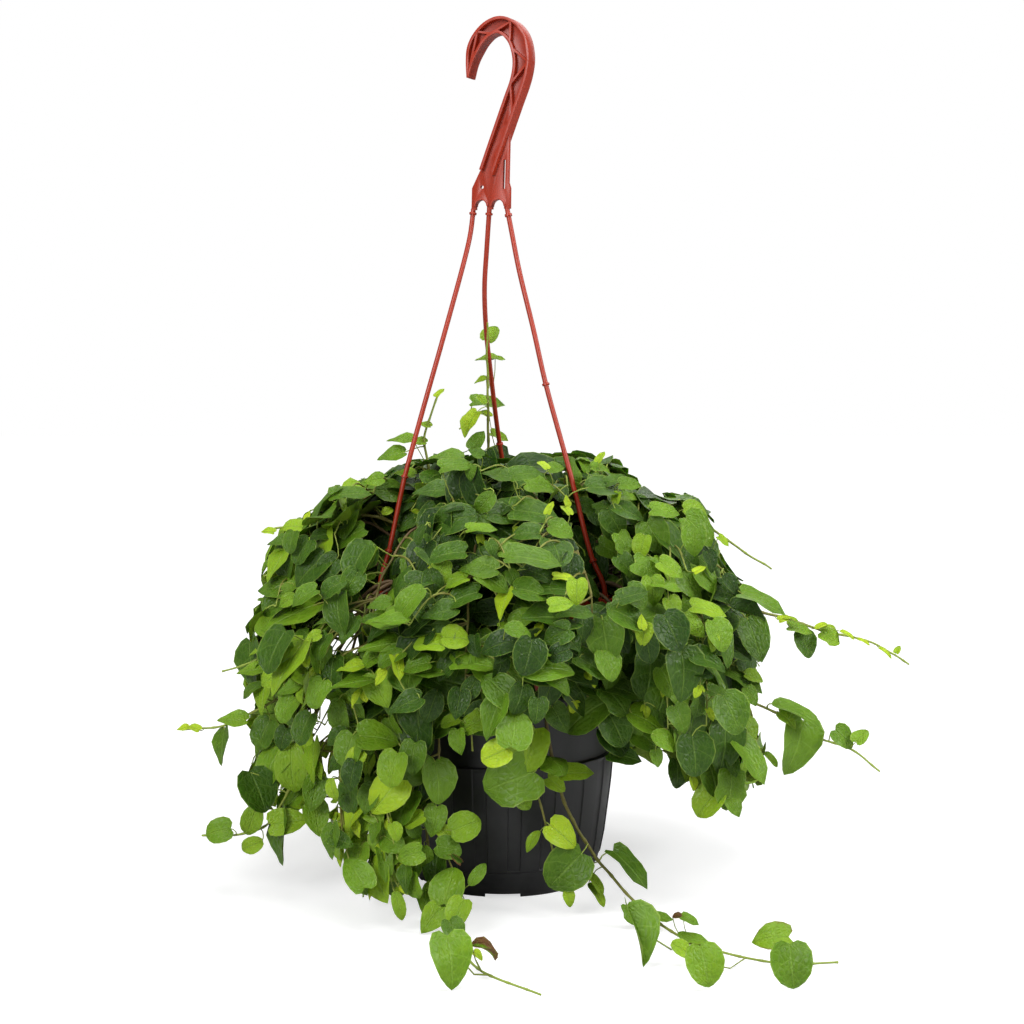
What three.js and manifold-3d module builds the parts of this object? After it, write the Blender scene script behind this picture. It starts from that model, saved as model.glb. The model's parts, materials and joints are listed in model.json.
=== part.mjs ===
// Potted creeping fig: a black flower pot, a terracotta hanging bowl set in its mouth, a moulded
// hanger with one hook and three strands, and the runners of the fig that grow from the bowl.
// Millimetres, +Z up. The origin is on the pot's axis, on the surface that the pot stands on.
// +X is to the viewer's right and +Y points away from the viewer.

import * as THREE from "three";
import { mergeVertices } from "three/addons/utils/BufferGeometryUtils.js";
import Module from "manifold-3d";

const wasm = await Module();
wasm.setup();

// Driving dimensions

const gap = 0.3; // kept between pieces that touch
const ringSides = 36; // sides of every turned piece

const pot = {
  footRadius: 66,
  footHeight: 3,
  padRadius: 18,
  bandTop: 20,
  bandRadius: 73.5,
  bellyHeight: 52,
  bellyRadius: 80.4,
  shoulderHeight: 78,
  shoulderRadius: 83.7,
  ledgeHeight: 100,
  ledgeRadius: 85.2,
  collarRadius: 82,
  mouthHeight: 152,
  mouthRadius: 88.5,
  lip: 2.5,
  wall: 2.2,
  feet: 6,
  footGap: 26,
  flutes: 20,
  fluteStart: 6.3, // the azimuth of the first flute's middle
  fluteWidth: 9.5,
  fluteDepth: 1.1,
  drainHoles: 6,
  drainRadius: 4,
};

const bowl = {
  bottom: 120,
  bottomRadius: 60,
  waistHeight: 180,
  waistRadius: 88.8,
  neckRadius: 90.6,
  rimHeight: 222,
  rimRadius: 93.4,
  wall: 2.2,
  tabWidth: 15,
  tabReach: 104.5,
  tabThickness: 2.4,
  eyeRadius: 2.9,
  eyePlace: 98.5,
  drainHoles: 4,
  drainRadius: 4,
};

const soil = { bottom: bowl.bottom + bowl.wall + gap, edge: 213, crown: 214 };

const hook = {
  place: new THREE.Vector3(-9.2, 0, 506.6), // middle of the plate's lower edge
  turn: -25, // degrees about the upright axis
  depth: 12, // front to back over the flanges
  web: 2.2,
  flange: 2.1,
  rib: 1.5,
  plate: 3,
};

const strand = { radius: 1.85, collarRadius: 2.8, collarLength: 1.8 };
const strandAzimuths = { left: -70, right: 50, back: 170 };

const stem = { radius: 1.5, sides: 3, lying: 2.1 }; // lying: its middle's height on the surface
const leaf = { length: 31, width: 33, stalk: 11, stalkWidth: 1.2, thickness: 0.8 };

// Materials

function finish(colour, roughness, metalness = 0) {
  return new THREE.MeshStandardMaterial({ color: colour, roughness, metalness });
}

const blackPlastic = finish(0x262627, 0.45);
const terracottaPlastic = finish(0xb84a36, 0.42);
const pottingSoil = finish(0x32251b, 0.95);
const foliage = finish(0x4e7a3a, 0.5);

// Small helpers

// A repeatable number from 0 to 1 for each seed
function chance(seed) {
  const wave = Math.sin(seed * 12.9898 + 4.1414) * 43758.5453;
  return wave - Math.floor(wave);
}

// A point from its azimuth in degrees (0 faces the viewer, positive to the right), radius and height
function around(azimuth, radius, height) {
  const angle = THREE.MathUtils.degToRad(azimuth);
  return new THREE.Vector3(radius * Math.sin(angle), -radius * Math.cos(angle), height);
}

// A closed three.js geometry as a solid
function solid(geometry) {
  const bare = geometry.clone();
  bare.deleteAttribute("normal");
  bare.deleteAttribute("uv");
  const merged = mergeVertices(bare, 1e-4);
  const mesh = new wasm.Mesh({
    numProp: 3,
    vertProperties: merged.attributes.position.array,
    triVerts: new Uint32Array(merged.index.array),
  });
  return new wasm.Manifold(mesh);
}

// A solid as a three.js geometry with flat faces
function shell(made) {
  const mesh = made.getMesh();
  const geometry = new THREE.BufferGeometry();
  geometry.setAttribute("position", new THREE.BufferAttribute(mesh.vertProperties, 3));
  geometry.setIndex(new THREE.BufferAttribute(mesh.triVerts, 1));
  const flat = geometry.toNonIndexed();
  flat.computeVertexNormals();
  return flat;
}

function join(solids) {
  return solids.reduce((whole, piece) => whole.add(piece));
}

// A turned solid from its profile of [radius, height] points, outside first and from the bottom up
function turned(profile, sides = ringSides) {
  const points = profile.map(([radius, height]) => new THREE.Vector2(radius, height));
  points.push(points[0].clone());
  const lathe = new THREE.LatheGeometry(points, sides);
  lathe.rotateX(Math.PI / 2);
  return solid(lathe);
}

function box(width, depth, height, place, azimuth = 0) {
  const geometry = new THREE.BoxGeometry(width, depth, height);
  geometry.rotateZ(THREE.MathUtils.degToRad(azimuth));
  geometry.translate(place.x, place.y, place.z);
  return solid(geometry);
}

function drum(radius, height, place, sides = 8) {
  const geometry = new THREE.CylinderGeometry(radius, radius, height, sides);
  geometry.rotateX(Math.PI / 2);
  geometry.translate(place.x, place.y, place.z);
  return solid(geometry);
}

// A smooth curve through points
function curveThrough(points) {
  return new THREE.CatmullRomCurve3(points, false, "centripetal");
}

// A round bar along a curve
function bar(curve, radius, sides, steps) {
  const section = new THREE.Shape();
  for (let i = 0; i < sides; i += 1) {
    const angle = (2 * Math.PI * i) / sides;
    const corner = [radius * Math.cos(angle), radius * Math.sin(angle)];
    if (i === 0) section.moveTo(...corner);
    else section.lineTo(...corner);
  }
  return solid(new THREE.ExtrudeGeometry(section, { steps, extrudePath: curve, bevelEnabled: false }));
}

// A flat plate of an outline drawn in X and Z, with its thickness along Y
function plate(outline, thickness, middle = 0) {
  const geometry = new THREE.ExtrudeGeometry(outline, { depth: thickness, bevelEnabled: false });
  geometry.translate(0, 0, -thickness / 2 - middle);
  geometry.rotateX(Math.PI / 2);
  return solid(geometry);
}

// Black flower pot

function coverPot() {
  const { wall } = pot;
  const profile = [
    [0, 0],
    [pot.padRadius, 0],
    [pot.padRadius + 1, pot.footHeight],
    [pot.footRadius - 8, pot.footHeight],
    [pot.footRadius - 7, 0],
    [pot.footRadius, 0],
    [pot.bandRadius, pot.bandTop - 4],
    [pot.bandRadius + 0.6, pot.bandTop],
    [pot.bandRadius + 1.8, pot.bandTop + 1],
    [pot.bellyRadius, pot.bellyHeight],
    [pot.shoulderRadius, pot.shoulderHeight],
    [pot.ledgeRadius, pot.ledgeHeight],
    [pot.collarRadius, pot.ledgeHeight + 0.6],
    [pot.mouthRadius - pot.lip, pot.mouthHeight - 5],
    [pot.mouthRadius, pot.mouthHeight - 4.4],
    [pot.mouthRadius, pot.mouthHeight],
    [pot.mouthRadius - pot.lip, pot.mouthHeight],
    [pot.collarRadius - wall, pot.ledgeHeight + 0.6],
    [pot.shoulderRadius - wall - 0.7, pot.shoulderHeight - 2],
    [pot.bandRadius - 1.4, pot.bandTop],
    [pot.footRadius - 3, pot.footHeight + wall],
    [0, pot.footHeight + wall],
  ];
  const cuts = [];
  const fluteLow = pot.bandTop + 3;
  const fluteHigh = pot.ledgeHeight - 3;
  const lean = Math.atan2(pot.ledgeRadius - pot.bandRadius - 1.8, fluteHigh - fluteLow);
  const middleRadius = (pot.bellyRadius + pot.shoulderRadius) / 2;
  for (let i = 0; i < pot.flutes; i += 1) {
    const azimuth = (360 / pot.flutes) * i + pot.fluteStart;
    const cutter = new THREE.BoxGeometry(pot.fluteWidth, 8, fluteHigh - fluteLow);
    cutter.rotateX(lean);
    cutter.translate(0, -(middleRadius + 0.35 - pot.fluteDepth + 4), (fluteLow + fluteHigh) / 2);
    cutter.rotateZ(THREE.MathUtils.degToRad(azimuth));
    cuts.push(solid(cutter));
  }
  for (let i = 0; i < pot.feet; i += 1) {
    const azimuth = (360 / pot.feet) * i;
    const place = around(azimuth, pot.footRadius - 3, 0);
    cuts.push(box(pot.footGap, 16, 2 * (pot.footHeight - 0.2), place, azimuth));
  }
  for (let i = 0; i < pot.drainHoles; i += 1) {
    cuts.push(drum(pot.drainRadius, 20, around(30 + (360 / pot.drainHoles) * i, 42, 4)));
  }
  // Two sides to a flute, turned so that every flute lies in the middle of a side
  const body = turned(profile, 2 * pot.flutes).rotate(0, 0, pot.fluteStart - 90 / pot.flutes);
  return body.subtract(join(cuts));
}

// Terracotta hanging bowl with three eyelet tabs

function hangingBowl() {
  const { wall } = bowl;
  const rim = bowl.rimHeight;
  const body = turned([
    [0, bowl.bottom],
    [bowl.bottomRadius, bowl.bottom],
    [71, bowl.bottom + 5],
    [79, 136],
    [pot.mouthRadius - pot.lip - gap, pot.mouthHeight],
    [bowl.waistRadius, bowl.waistHeight],
    [bowl.neckRadius, rim - 6],
    [bowl.rimRadius, rim - 5],
    [bowl.rimRadius, rim - 0.5],
    [bowl.rimRadius - 3, rim],
    [bowl.neckRadius - wall, rim - 3],
    [bowl.waistRadius - wall, bowl.waistHeight],
    [pot.mouthRadius - pot.lip - wall - 0.4, pot.mouthHeight],
    [69.5, bowl.bottom + 7],
    [bowl.bottomRadius - 1, bowl.bottom + wall],
    [0, bowl.bottom + wall],
  ]);
  const tabs = [];
  const cuts = [];
  for (const azimuth of Object.values(strandAzimuths)) {
    const reach = bowl.tabReach - bowl.rimRadius + 2;
    const height = rim - bowl.tabThickness / 2;
    const place = around(azimuth, bowl.tabReach - reach / 2, height);
    tabs.push(box(bowl.tabWidth, reach, bowl.tabThickness, place, azimuth));
    cuts.push(drum(bowl.eyeRadius, 8, around(azimuth, bowl.eyePlace, height)));
  }
  for (let i = 0; i < bowl.drainHoles; i += 1) {
    cuts.push(drum(bowl.drainRadius, 12, around((360 / bowl.drainHoles) * i, 36, bowl.bottom)));
  }
  return join([body, ...tabs]).subtract(join(cuts));
}

function pottingSoilFill() {
  return turned([
    [0, soil.bottom],
    [bowl.bottomRadius - 2, soil.bottom],
    [pot.mouthRadius - pot.lip - bowl.wall - 1.5, pot.mouthHeight],
    [bowl.waistRadius - bowl.wall - 0.6, bowl.waistHeight],
    [bowl.neckRadius - bowl.wall - 0.8, soil.edge],
    [0, soil.crown],
  ]);
}

// Hook with its plate, drawn in a plane: x across, z up from the plate's lower edge

// The middle line of the hook's channel, from the tip over the crown to the plate, with half its width
const hookLine = [
  [-15.4, 100.6, 1.6],
  [-15.6, 112, 2.8],
  [-13.6, 121, 3.6],
  [-8.1, 130, 4.4],
  [0.2, 136, 5.5],
  [9.4, 137.8, 6.3],
  [17.6, 134.4, 7],
  [24, 126.7, 7.1],
  [27.3, 114.3, 6.7],
  [26.8, 104, 6.2],
  [24, 93.6, 5.9],
  [19.9, 83.6, 5.9],
  [9.3, 57, 5.9],
  [-1.3, 30, 5.9],
];
const ribCorners = [
  [-15.6, 104.5],
  [-8.4, 134],
  [2.6, 131.8],
  [19, 139.4],
  [18.2, 121.5],
  [33, 109],
  [18.8, 93.9],
  [20.4, 70],
];

// The outline of the hook's channel, drawn in by an inset on both sides
function channelOutline(inset, endCut) {
  const line = curveThrough(hookLine.map(([x, z]) => new THREE.Vector3(x, 0, z)));
  const widths = curveThrough(hookLine.map(([x, z, half]) => new THREE.Vector3(x, half, z)));
  const steps = 24;
  const outer = [];
  const inner = [];
  for (let i = 0; i <= steps; i += 1) {
    const t = endCut + ((1 - 2 * endCut) * i) / steps;
    const middle = line.getPoint(t);
    const along = line.getTangent(t);
    const half = Math.max(widths.getPoint(t).y - inset, 0.15);
    outer.push(new THREE.Vector2(middle.x - along.z * half, middle.z + along.x * half));
    inner.push(new THREE.Vector2(middle.x + along.z * half, middle.z - along.x * half));
  }
  return new THREE.Shape([...outer, ...inner.reverse()]);
}

function hookPlateOutline() {
  const outline = new THREE.Shape();
  outline.moveTo(-15.4, 2.6);
  outline.lineTo(-11.8, 2.6);
  outline.lineTo(-11.8, 5);
  outline.absarc(-7.1, 5, 4.7, Math.PI, 0, true);
  outline.lineTo(-2.4, 2.6);
  outline.lineTo(1.8, 2.6);
  outline.lineTo(1.8, 4.6);
  outline.absarc(6.8, 4.6, 5, Math.PI, 0, true);
  outline.lineTo(11.8, 2.6);
  outline.lineTo(16.4, 2.6);
  outline.lineTo(16.6, 18);
  outline.lineTo(15.3, 22);
  outline.lineTo(16.2, 58);
  outline.lineTo(9, 62);
  outline.lineTo(-9.5, 29);
  outline.lineTo(-14.9, 18.8);
  const slot = new THREE.Path([
    new THREE.Vector2(10.7, 17.5),
    new THREE.Vector2(12.6, 17.5),
    new THREE.Vector2(13.2, 39),
    new THREE.Vector2(11.4, 39),
  ]);
  const hole = new THREE.Path();
  hole.absarc(-6.5, 19.4, 1.4, 0, 2 * Math.PI, false);
  outline.holes.push(slot, hole);
  return outline;
}

function ribBetween([x0, z0], [x1, z1]) {
  const length = Math.hypot(x1 - x0, z1 - z0) + 2;
  const geometry = new THREE.BoxGeometry(length, hook.depth - 0.8, hook.rib);
  geometry.rotateY(-Math.atan2(z1 - z0, x1 - x0));
  geometry.translate((x0 + x1) / 2, 0, (z0 + z1) / 2);
  return solid(geometry);
}

function hangerHook() {
  const channel = plate(channelOutline(0, 0), hook.depth);
  const pocketDepth = hook.depth / 2;
  const pocketMiddle = hook.web / 2 + pocketDepth / 2;
  const pocketOutline = channelOutline(hook.flange, 0.012);
  const pockets = [-1, 1].map((side) => plate(pocketOutline, pocketDepth, side * pocketMiddle));
  const ribs = ribCorners.slice(1).map((corner, i) => ribBetween(ribCorners[i], corner));
  const ribsInside = join(ribs).intersect(channel);
  const flat = plate(hookPlateOutline(), hook.plate);
  return join([channel.subtract(join(pockets)), ribsInside, flat]).simplify(0.02);
}

// Hanger strands: the middle line of each, from under the hook's plate to below its eyelet

const strandRoutes = {
  left: [
    [-22.4, 6.2, 508.6],
    [-24.4, 3.4, 492],
    [-28, -1.5, 475],
    [-43, -11, 419],
    [-64, -21, 344],
    [-74, -25.5, 306],
    [-85, -30.5, 254],
    [-91.3, -33.2, 232],
    [-92.6, -33.7, 213],
  ],
  right: [
    [3.4, -5.9, 508.6],
    [6.6, -8.8, 492],
    [12, -14, 464],
    [23, -24, 418],
    [32, -31.5, 378],
    [50, -45, 312],
    [66, -57, 250],
    [74, -62.6, 232],
    [75.5, -63.3, 213],
  ],
  back: [
    [-10.2, 0.5, 508.6],
    [-12.2, 3, 480],
    [-14, 9, 451],
    [-13, 22, 419],
    [-10, 37, 389],
    [-5, 57, 345],
    [1, 74, 305],
    [11, 91, 252],
    [16.2, 95.8, 232],
    [17.1, 97, 213],
  ],
};
const collarHeights = { left: [494, 309, 254], right: [494, 378, 249], back: [494, 330, 262] };

function ring(curve, height, radius, length) {
  let low = 0;
  let high = 1;
  for (let i = 0; i < 20; i += 1) {
    const middle = (low + high) / 2;
    if (curve.getPointAt(middle).z > height) low = middle;
    else high = middle;
  }
  const along = curve.getTangentAt(low);
  const geometry = new THREE.CylinderGeometry(radius, radius, length, 6);
  geometry.applyQuaternion(new THREE.Quaternion().setFromUnitVectors(new THREE.Vector3(0, 1, 0), along));
  const place = curve.getPointAt(low);
  geometry.translate(place.x, place.y, place.z);
  return solid(geometry);
}

function hangerStrand(side) {
  const curve = curveThrough(strandRoutes[side].map((point) => new THREE.Vector3(...point)));
  const rod = bar(curve, strand.radius, 6, 16);
  const collars = collarHeights[side].map((height) => {
    return ring(curve, height, strand.collarRadius, strand.collarLength);
  });
  const tabUnder = bowl.rimHeight - bowl.tabThickness;
  const stop = ring(curve, bowl.rimHeight + gap + 1.2, 3.4, 1.6);
  const azimuth = strandAzimuths[side];
  const foot = new THREE.ConeGeometry(4.4, 5, 8);
  foot.rotateX(-Math.PI / 2);
  const footPlace = around(azimuth, bowl.eyePlace, tabUnder - gap - 2.5);
  foot.translate(footPlace.x, footPlace.y, footPlace.z);
  return join([rod, ...collars, stop, solid(foot)]).simplify(0.01);
}

// Runners of the fig

const rootHeight = soil.crown + 1.4; // clear of the soil, whatever way the stem leans

const lying = stem.lying;

// Hand-set runners, each as [azimuth, radius, height] points from the soil to the tip, and its leaves
const runners = {
  vine_right_long: {
    leaves: 8,
    route: [
      [62, 70, rootHeight], [64, 84, 240], [69, 110, 243], [74, 153, 222], [76, 182, 215],
      [79, 218, 203], [82, 247, 193], [84, 277, 185], [85, 307, 168],
    ],
  },
  vine_right_upper: {
    leaves: 6,
    route: [
      [84, 45, rootHeight], [84, 62, 262], [85, 104, 282], [86, 142, 279], [87, 176, 256],
      [89, 205, 237],
    ],
  },
  vine_right_lower: {
    leaves: 8,
    route: [
      [52, 74, rootHeight], [53, 90, 232], [54, 104, 231], [57, 122, 215], [62, 162, 173],
      [67, 195, 149], [70, 222, 135], [73, 243, 120], [75, 268, 110], [76, 285, 95],
    ],
  },
  vine_right_drop: {
    leaves: 7,
    route: [
      [37, 74, rootHeight], [39, 90, 231], [41, 104, 228], [46, 124, 208], [53, 159, 160],
      [59, 184, 124], [62, 192, 97], [60, 182, 80], [58, 169, 68],
    ],
  },
  vine_floor_right: {
    leaves: 10,
    route: [
      [18, 74, rootHeight], [17, 90, 231], [16, 105, 226], [15, 116, 200], [15, 118, 156],
      [17, 119, 113], [22, 118, 83], [28, 119, 57], [35, 123, 36], [42, 131, 14],
      [43, 150, lying + 0.4], [38, 184, lying], [36, 218, lying], [37, 261, lying],
      [40, 292, lying], [45, 312, lying],
    ],
  },
  vine_front_drop: {
    leaves: 5,
    route: [
      [6, 74, rootHeight], [6, 90, 231], [6, 104, 225], [5, 114, 196], [7, 119, 140],
      [11, 120, 100], [15, 119, 66], [19, 117, 40],
    ],
  },
  vine_floor_front: {
    leaves: 9,
    route: [
      [-32, 74, rootHeight], [-33, 90, 231], [-33, 105, 225], [-33, 116, 196], [-30, 125, 156],
      [-27, 127, 106], [-25, 126, 63], [-23, 127, 30], [-19, 138, 8], [-12, 165, lying + 0.4],
      [-8, 195, lying], [-3, 239, lying], [5, 284, lying],
    ],
  },
  vine_left_mid: {
    leaves: 7,
    route: [
      [-66, 74, rootHeight], [-66, 90, 231], [-68, 106, 226], [-72, 128, 196], [-73, 157, 158],
      [-76, 186, 138], [-79, 212, 124], [-82, 243, 119],
    ],
  },
  vine_left_lower: {
    leaves: 8,
    route: [
      [-58, 74, rootHeight], [-59, 90, 231], [-60, 106, 226], [-62, 124, 205], [-65, 146, 150],
      [-65, 165, 100], [-69, 183, 58], [-73, 204, 46], [-78, 230, 42],
    ],
  },
  vine_left_upper: {
    leaves: 6,
    route: [
      [-82, 68, rootHeight], [-81, 92, 242], [-79, 126, 228], [-79, 163, 190], [-80, 192, 170],
      [-82, 213, 163],
    ],
  },
  vine_left_sprig: {
    leaves: 5,
    route: [
      [-75, 38, rootHeight], [-75, 66, 262], [-75, 118, 281], [-75, 149, 252], [-77, 182, 236],
    ],
  },
  vine_left_tip: {
    leaves: 5,
    route: [
      [-92, 50, rootHeight], [-91, 76, 270], [-90, 109, 292], [-90, 147, 273], [-90, 180, 267],
    ],
  },
  vine_climber: {
    leaves: 6,
    route: [
      [-169, 53, rootHeight], [-168, 50, 262], [-166, 47, 310], [-165, 45, 342], [-163, 40, 365],
      [-158, 32, 389], [-149, 24, 408], [-138, 18, 424],
    ],
  },
  vine_tendril: {
    leaves: 4,
    route: [
      [-82, 50, rootHeight], [-81, 55, 270], [-80, 57, 309], [-80, 60, 336], [-80, 56, 355],
      [-78, 50, 372],
    ],
  },
};

// Runners that hang over the rim: azimuth, how far out they reach and how low they end
const skirtRunners = [
  [-10, 126, 122],
  [-21, 125, 34],
  [-42, 140, 24],
  [-51, 150, 48],
  [-100, 182, 78],
  [-116, 176, 96],
  [-134, 170, 70],
  [-152, 166, 92],
  [173.5, 164, 74],
  [152, 168, 88],
  [132, 170, 70],
  [112, 174, 96],
  [94, 176, 118],
  [27, 132, 134],
];

function skirtRoute([azimuth, reach, end]) {
  const middle = (reach + 104) / 2;
  return [
    [azimuth, 73, rootHeight],
    [azimuth, 90, 232],
    [azimuth, 106, 229],
    [azimuth, middle + 3, 210],
    [azimuth, reach, (214 + end) / 2],
    [azimuth, reach - 3, end],
  ];
}

// Runners that rise from the middle and arch over. None crosses in front of a strand.
const arches = {
  shoulder: {
    azimuths: [-33, -8, 22, 57, 85, 114, 140, 168, 197, 226, 255, 283],
    seed: 0,
    root: 56,
    crest: 112,
    high: 276,
    reach: 172,
    end: 182,
    spread: 20,
  },
  crown: {
    azimuths: [-22, 15, 62, 98, 134, 172, 208, 234, 258, 276],
    seed: 12,
    root: 24,
    crest: 66,
    high: 302,
    reach: 132,
    end: 256,
    spread: 10,
  },
};

function archRoute(arch, i) {
  const azimuth = arch.azimuths[i];
  const reach = arch.reach + arch.spread * (chance(arch.seed + i + 40) - 0.5);
  const end = arch.end + 2 * arch.spread * (chance(arch.seed + i + 80) - 0.5);
  return [
    [azimuth, arch.root, rootHeight],
    [azimuth, arch.root + 0.25 * (arch.crest - arch.root), arch.high - 28],
    [azimuth, arch.crest, arch.high],
    [azimuth, arch.crest + 0.72 * (reach - arch.crest), arch.high - 0.36 * (arch.high - end)],
    [azimuth, reach, end],
  ];
}

function vineList() {
  const vines = Object.entries(runners).map(([name, runner]) => ({ name, ...runner }));
  skirtRunners.forEach((runner, i) => {
    vines.push({ name: `vine_skirt_${i + 1}`, leaves: 4, route: skirtRoute(runner) });
  });
  for (const [kind, arch] of Object.entries(arches)) {
    arch.azimuths.forEach((azimuth, i) => {
      vines.push({ name: `vine_${kind}_${i + 1}`, leaves: 4, route: archRoute(arch, i) });
    });
  }
  return vines;
}

// A leaf plate with its stalk: x across, y along the midrib from the stem, z its thickness
function leafGeometry(scale) {
  const long = leaf.length * scale;
  const half = (leaf.width * scale) / 2;
  const { stalk } = leaf;
  const outline = new THREE.Shape([
    new THREE.Vector2(leaf.stalkWidth / 2, 0),
    new THREE.Vector2(half, stalk + long * 0.3),
    new THREE.Vector2(0, stalk + long),
    new THREE.Vector2(-half, stalk + long * 0.3),
    new THREE.Vector2(-leaf.stalkWidth / 2, 0),
  ]);
  const geometry = new THREE.ExtrudeGeometry(outline, { depth: leaf.thickness, bevelEnabled: false });
  geometry.translate(0, 0, -leaf.thickness / 2);
  return geometry;
}

const canopyMiddle = new THREE.Vector3(0, 0, 150);
const floorClearance = 0.15;

// A leaf plate at a place on a runner, turned outwards and to one side of the stem
function leafSolid(stemPoints, joint, side, seed) {
  const place = stemPoints[joint - 1].clone().add(stemPoints[joint]).multiplyScalar(0.5);
  const along = stemPoints[joint].clone().sub(stemPoints[joint - 1]).normalize();
  const lying = place.z < 12;
  const outward = lying
    ? new THREE.Vector3(0, 0, 1)
    : place.clone().sub(canopyMiddle).normalize().addScaledVector(new THREE.Vector3(0, 0, 1), 0.35);
  outward.addScaledVector(along, -outward.dot(along)).normalize();
  const across = new THREE.Vector3().crossVectors(along, outward).multiplyScalar(side);
  const reach = across.clone().multiplyScalar(0.8 + 0.3 * chance(seed));
  reach.addScaledVector(along, 0.35 + 0.5 * chance(seed + 0.3));
  if (!lying) reach.addScaledVector(outward, 0.45 * chance(seed + 0.6));
  reach.normalize();
  const normal = outward.clone().addScaledVector(reach, -outward.dot(reach)).normalize();
  const sideways = new THREE.Vector3().crossVectors(reach, normal);
  const turn = new THREE.Matrix4().makeBasis(sideways, reach, normal).setPosition(place);
  const age = 1 - joint / stemPoints.length;
  const scale = 0.42 + 0.62 * Math.min(1, 2.2 * age) + 0.16 * (chance(seed + 0.9) - 0.5);
  return solid(leafGeometry(scale).applyMatrix4(turn));
}

function boxesApart(a, b) {
  return [0, 1, 2].some((axis) => a.min[axis] > b.max[axis] + gap || b.min[axis] > a.max[axis] + gap);
}

function clearOf(piece, others) {
  const bounds = piece.boundingBox();
  const near = others.filter((other) => !boxesApart(bounds, other.boundingBox()));
  return near.every((other) => piece.minGap(other, gap) >= gap);
}

const leafTries = 4;
const bareStart = 0.2; // the share of a runner's length that stays bare at its root

// A runner's stem along its route, with evenly spaced joints where leaves can grow
function growStem({ name, route }, others) {
  const joints = Math.max(Math.round(1.6 * route.length), 10);
  const curve = curveThrough(route.map(([azimuth, radius, height]) => around(azimuth, radius, height)));
  const body = bar(curve, stem.radius, stem.sides, joints);
  if (!clearOf(body, others)) throw new Error(`${name} runs into another piece`);
  return { body, joints: curve.getSpacedPoints(joints) };
}

// The leaves of one runner, from its tip towards its root, each clear of everything else
function growLeaves(vine, leaves, seed, others) {
  const last = vine.joints.length - 1;
  const spacing = (1 - bareStart) / (leaves - 1);
  for (let i = 0; i < leaves; i += 1) {
    for (let attempt = 0; attempt < leafTries; attempt += 1) {
      const joint = Math.max(2, Math.round((1 - spacing * i) * last) - Math.ceil(attempt / 2));
      const side = (i + attempt) % 2 ? 1 : -1;
      const blade = leafSolid(vine.joints, joint, side, seed * 31 + i * 3 + attempt);
      if (blade.boundingBox().min[2] > floorClearance && clearOf(blade, others)) {
        vine.body = vine.body.add(blade);
        break;
      }
    }
  }
}

// The assembly

const figPot = new THREE.Group();

function place(name, made, material) {
  const mesh = new THREE.Mesh(shell(made), material.clone());
  mesh.name = name;
  figPot.add(mesh);
}

const hookTurn = THREE.MathUtils.degToRad(hook.turn);
const hookGeometry = shell(hangerHook()).rotateZ(hookTurn).translate(...hook.place.toArray());
const madeThings = {
  cover_pot: [coverPot(), blackPlastic],
  hanging_bowl: [hangingBowl(), terracottaPlastic],
  potting_soil: [pottingSoilFill(), pottingSoil],
  hanger_hook: [solid(hookGeometry), terracottaPlastic],
};
for (const side of Object.keys(strandRoutes)) {
  madeThings[`hanger_strand_${side}`] = [hangerStrand(side), terracottaPlastic];
}
for (const [name, [made, material]] of Object.entries(madeThings)) place(name, made, material);

const fixed = Object.values(madeThings).map(([made]) => made);
const vines = [];
for (const vine of vineList()) {
  vines.push({ ...vine, ...growStem(vine, [...fixed, ...vines.map((other) => other.body)]) });
}
vines.forEach((vine, i) => {
  const others = vines.filter((other) => other !== vine).map((other) => other.body);
  growLeaves(vine, vine.leaves, i + 1, [...fixed, ...others]);
  place(vine.name, vine.body.simplify(0.02), foliage);
});

export default figPot;
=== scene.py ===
# %% [markdown]
# A creeping fig in a terracotta hanging bowl that stands in a black flower pot.
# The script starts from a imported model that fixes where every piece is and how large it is. Each cell
# then makes one piece in its finished shape, gives it a material, and lets it take the place of the
# plain solid that held its room. Lengths are in millimetres until a mesh is made, and then in metres.

# %% The fixed frame
import json
import math
import random

import bmesh
import bpy
import numpy as np
from mathutils import Matrix, Vector, noise

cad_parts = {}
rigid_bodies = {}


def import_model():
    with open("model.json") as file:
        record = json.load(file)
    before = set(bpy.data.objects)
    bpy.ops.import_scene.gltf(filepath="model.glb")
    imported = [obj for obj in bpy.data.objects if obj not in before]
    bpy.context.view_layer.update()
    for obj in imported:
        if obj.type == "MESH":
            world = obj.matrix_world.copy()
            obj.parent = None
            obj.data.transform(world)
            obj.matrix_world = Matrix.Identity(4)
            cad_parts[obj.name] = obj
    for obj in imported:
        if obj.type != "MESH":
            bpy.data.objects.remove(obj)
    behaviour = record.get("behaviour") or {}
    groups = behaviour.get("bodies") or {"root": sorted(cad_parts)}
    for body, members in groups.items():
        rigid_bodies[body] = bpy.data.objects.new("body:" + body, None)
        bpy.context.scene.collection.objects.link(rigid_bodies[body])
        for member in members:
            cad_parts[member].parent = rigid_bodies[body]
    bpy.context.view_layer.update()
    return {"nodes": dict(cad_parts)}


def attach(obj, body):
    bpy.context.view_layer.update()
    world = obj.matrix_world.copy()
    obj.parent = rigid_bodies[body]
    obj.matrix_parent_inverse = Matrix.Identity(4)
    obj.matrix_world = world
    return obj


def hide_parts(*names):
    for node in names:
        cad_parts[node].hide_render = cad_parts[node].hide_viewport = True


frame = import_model()
MM = 0.001
print("solids in the frame:", len(frame["nodes"]))

# %% [markdown]
# A few helpers serve the whole lesson. Colours are read off as sRGB hex values, but shaders work in
# linear light, so one function converts them. A node with its settings and links is added by one call,
# in shader trees and geometry trees alike, which keeps each tree readable from top to bottom.

# %% Colour and node helpers
MATH = "ShaderNodeMath"
RANGE = "ShaderNodeMapRange"
MIX = "ShaderNodeMix"
NOISE = "ShaderNodeTexNoise"


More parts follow.
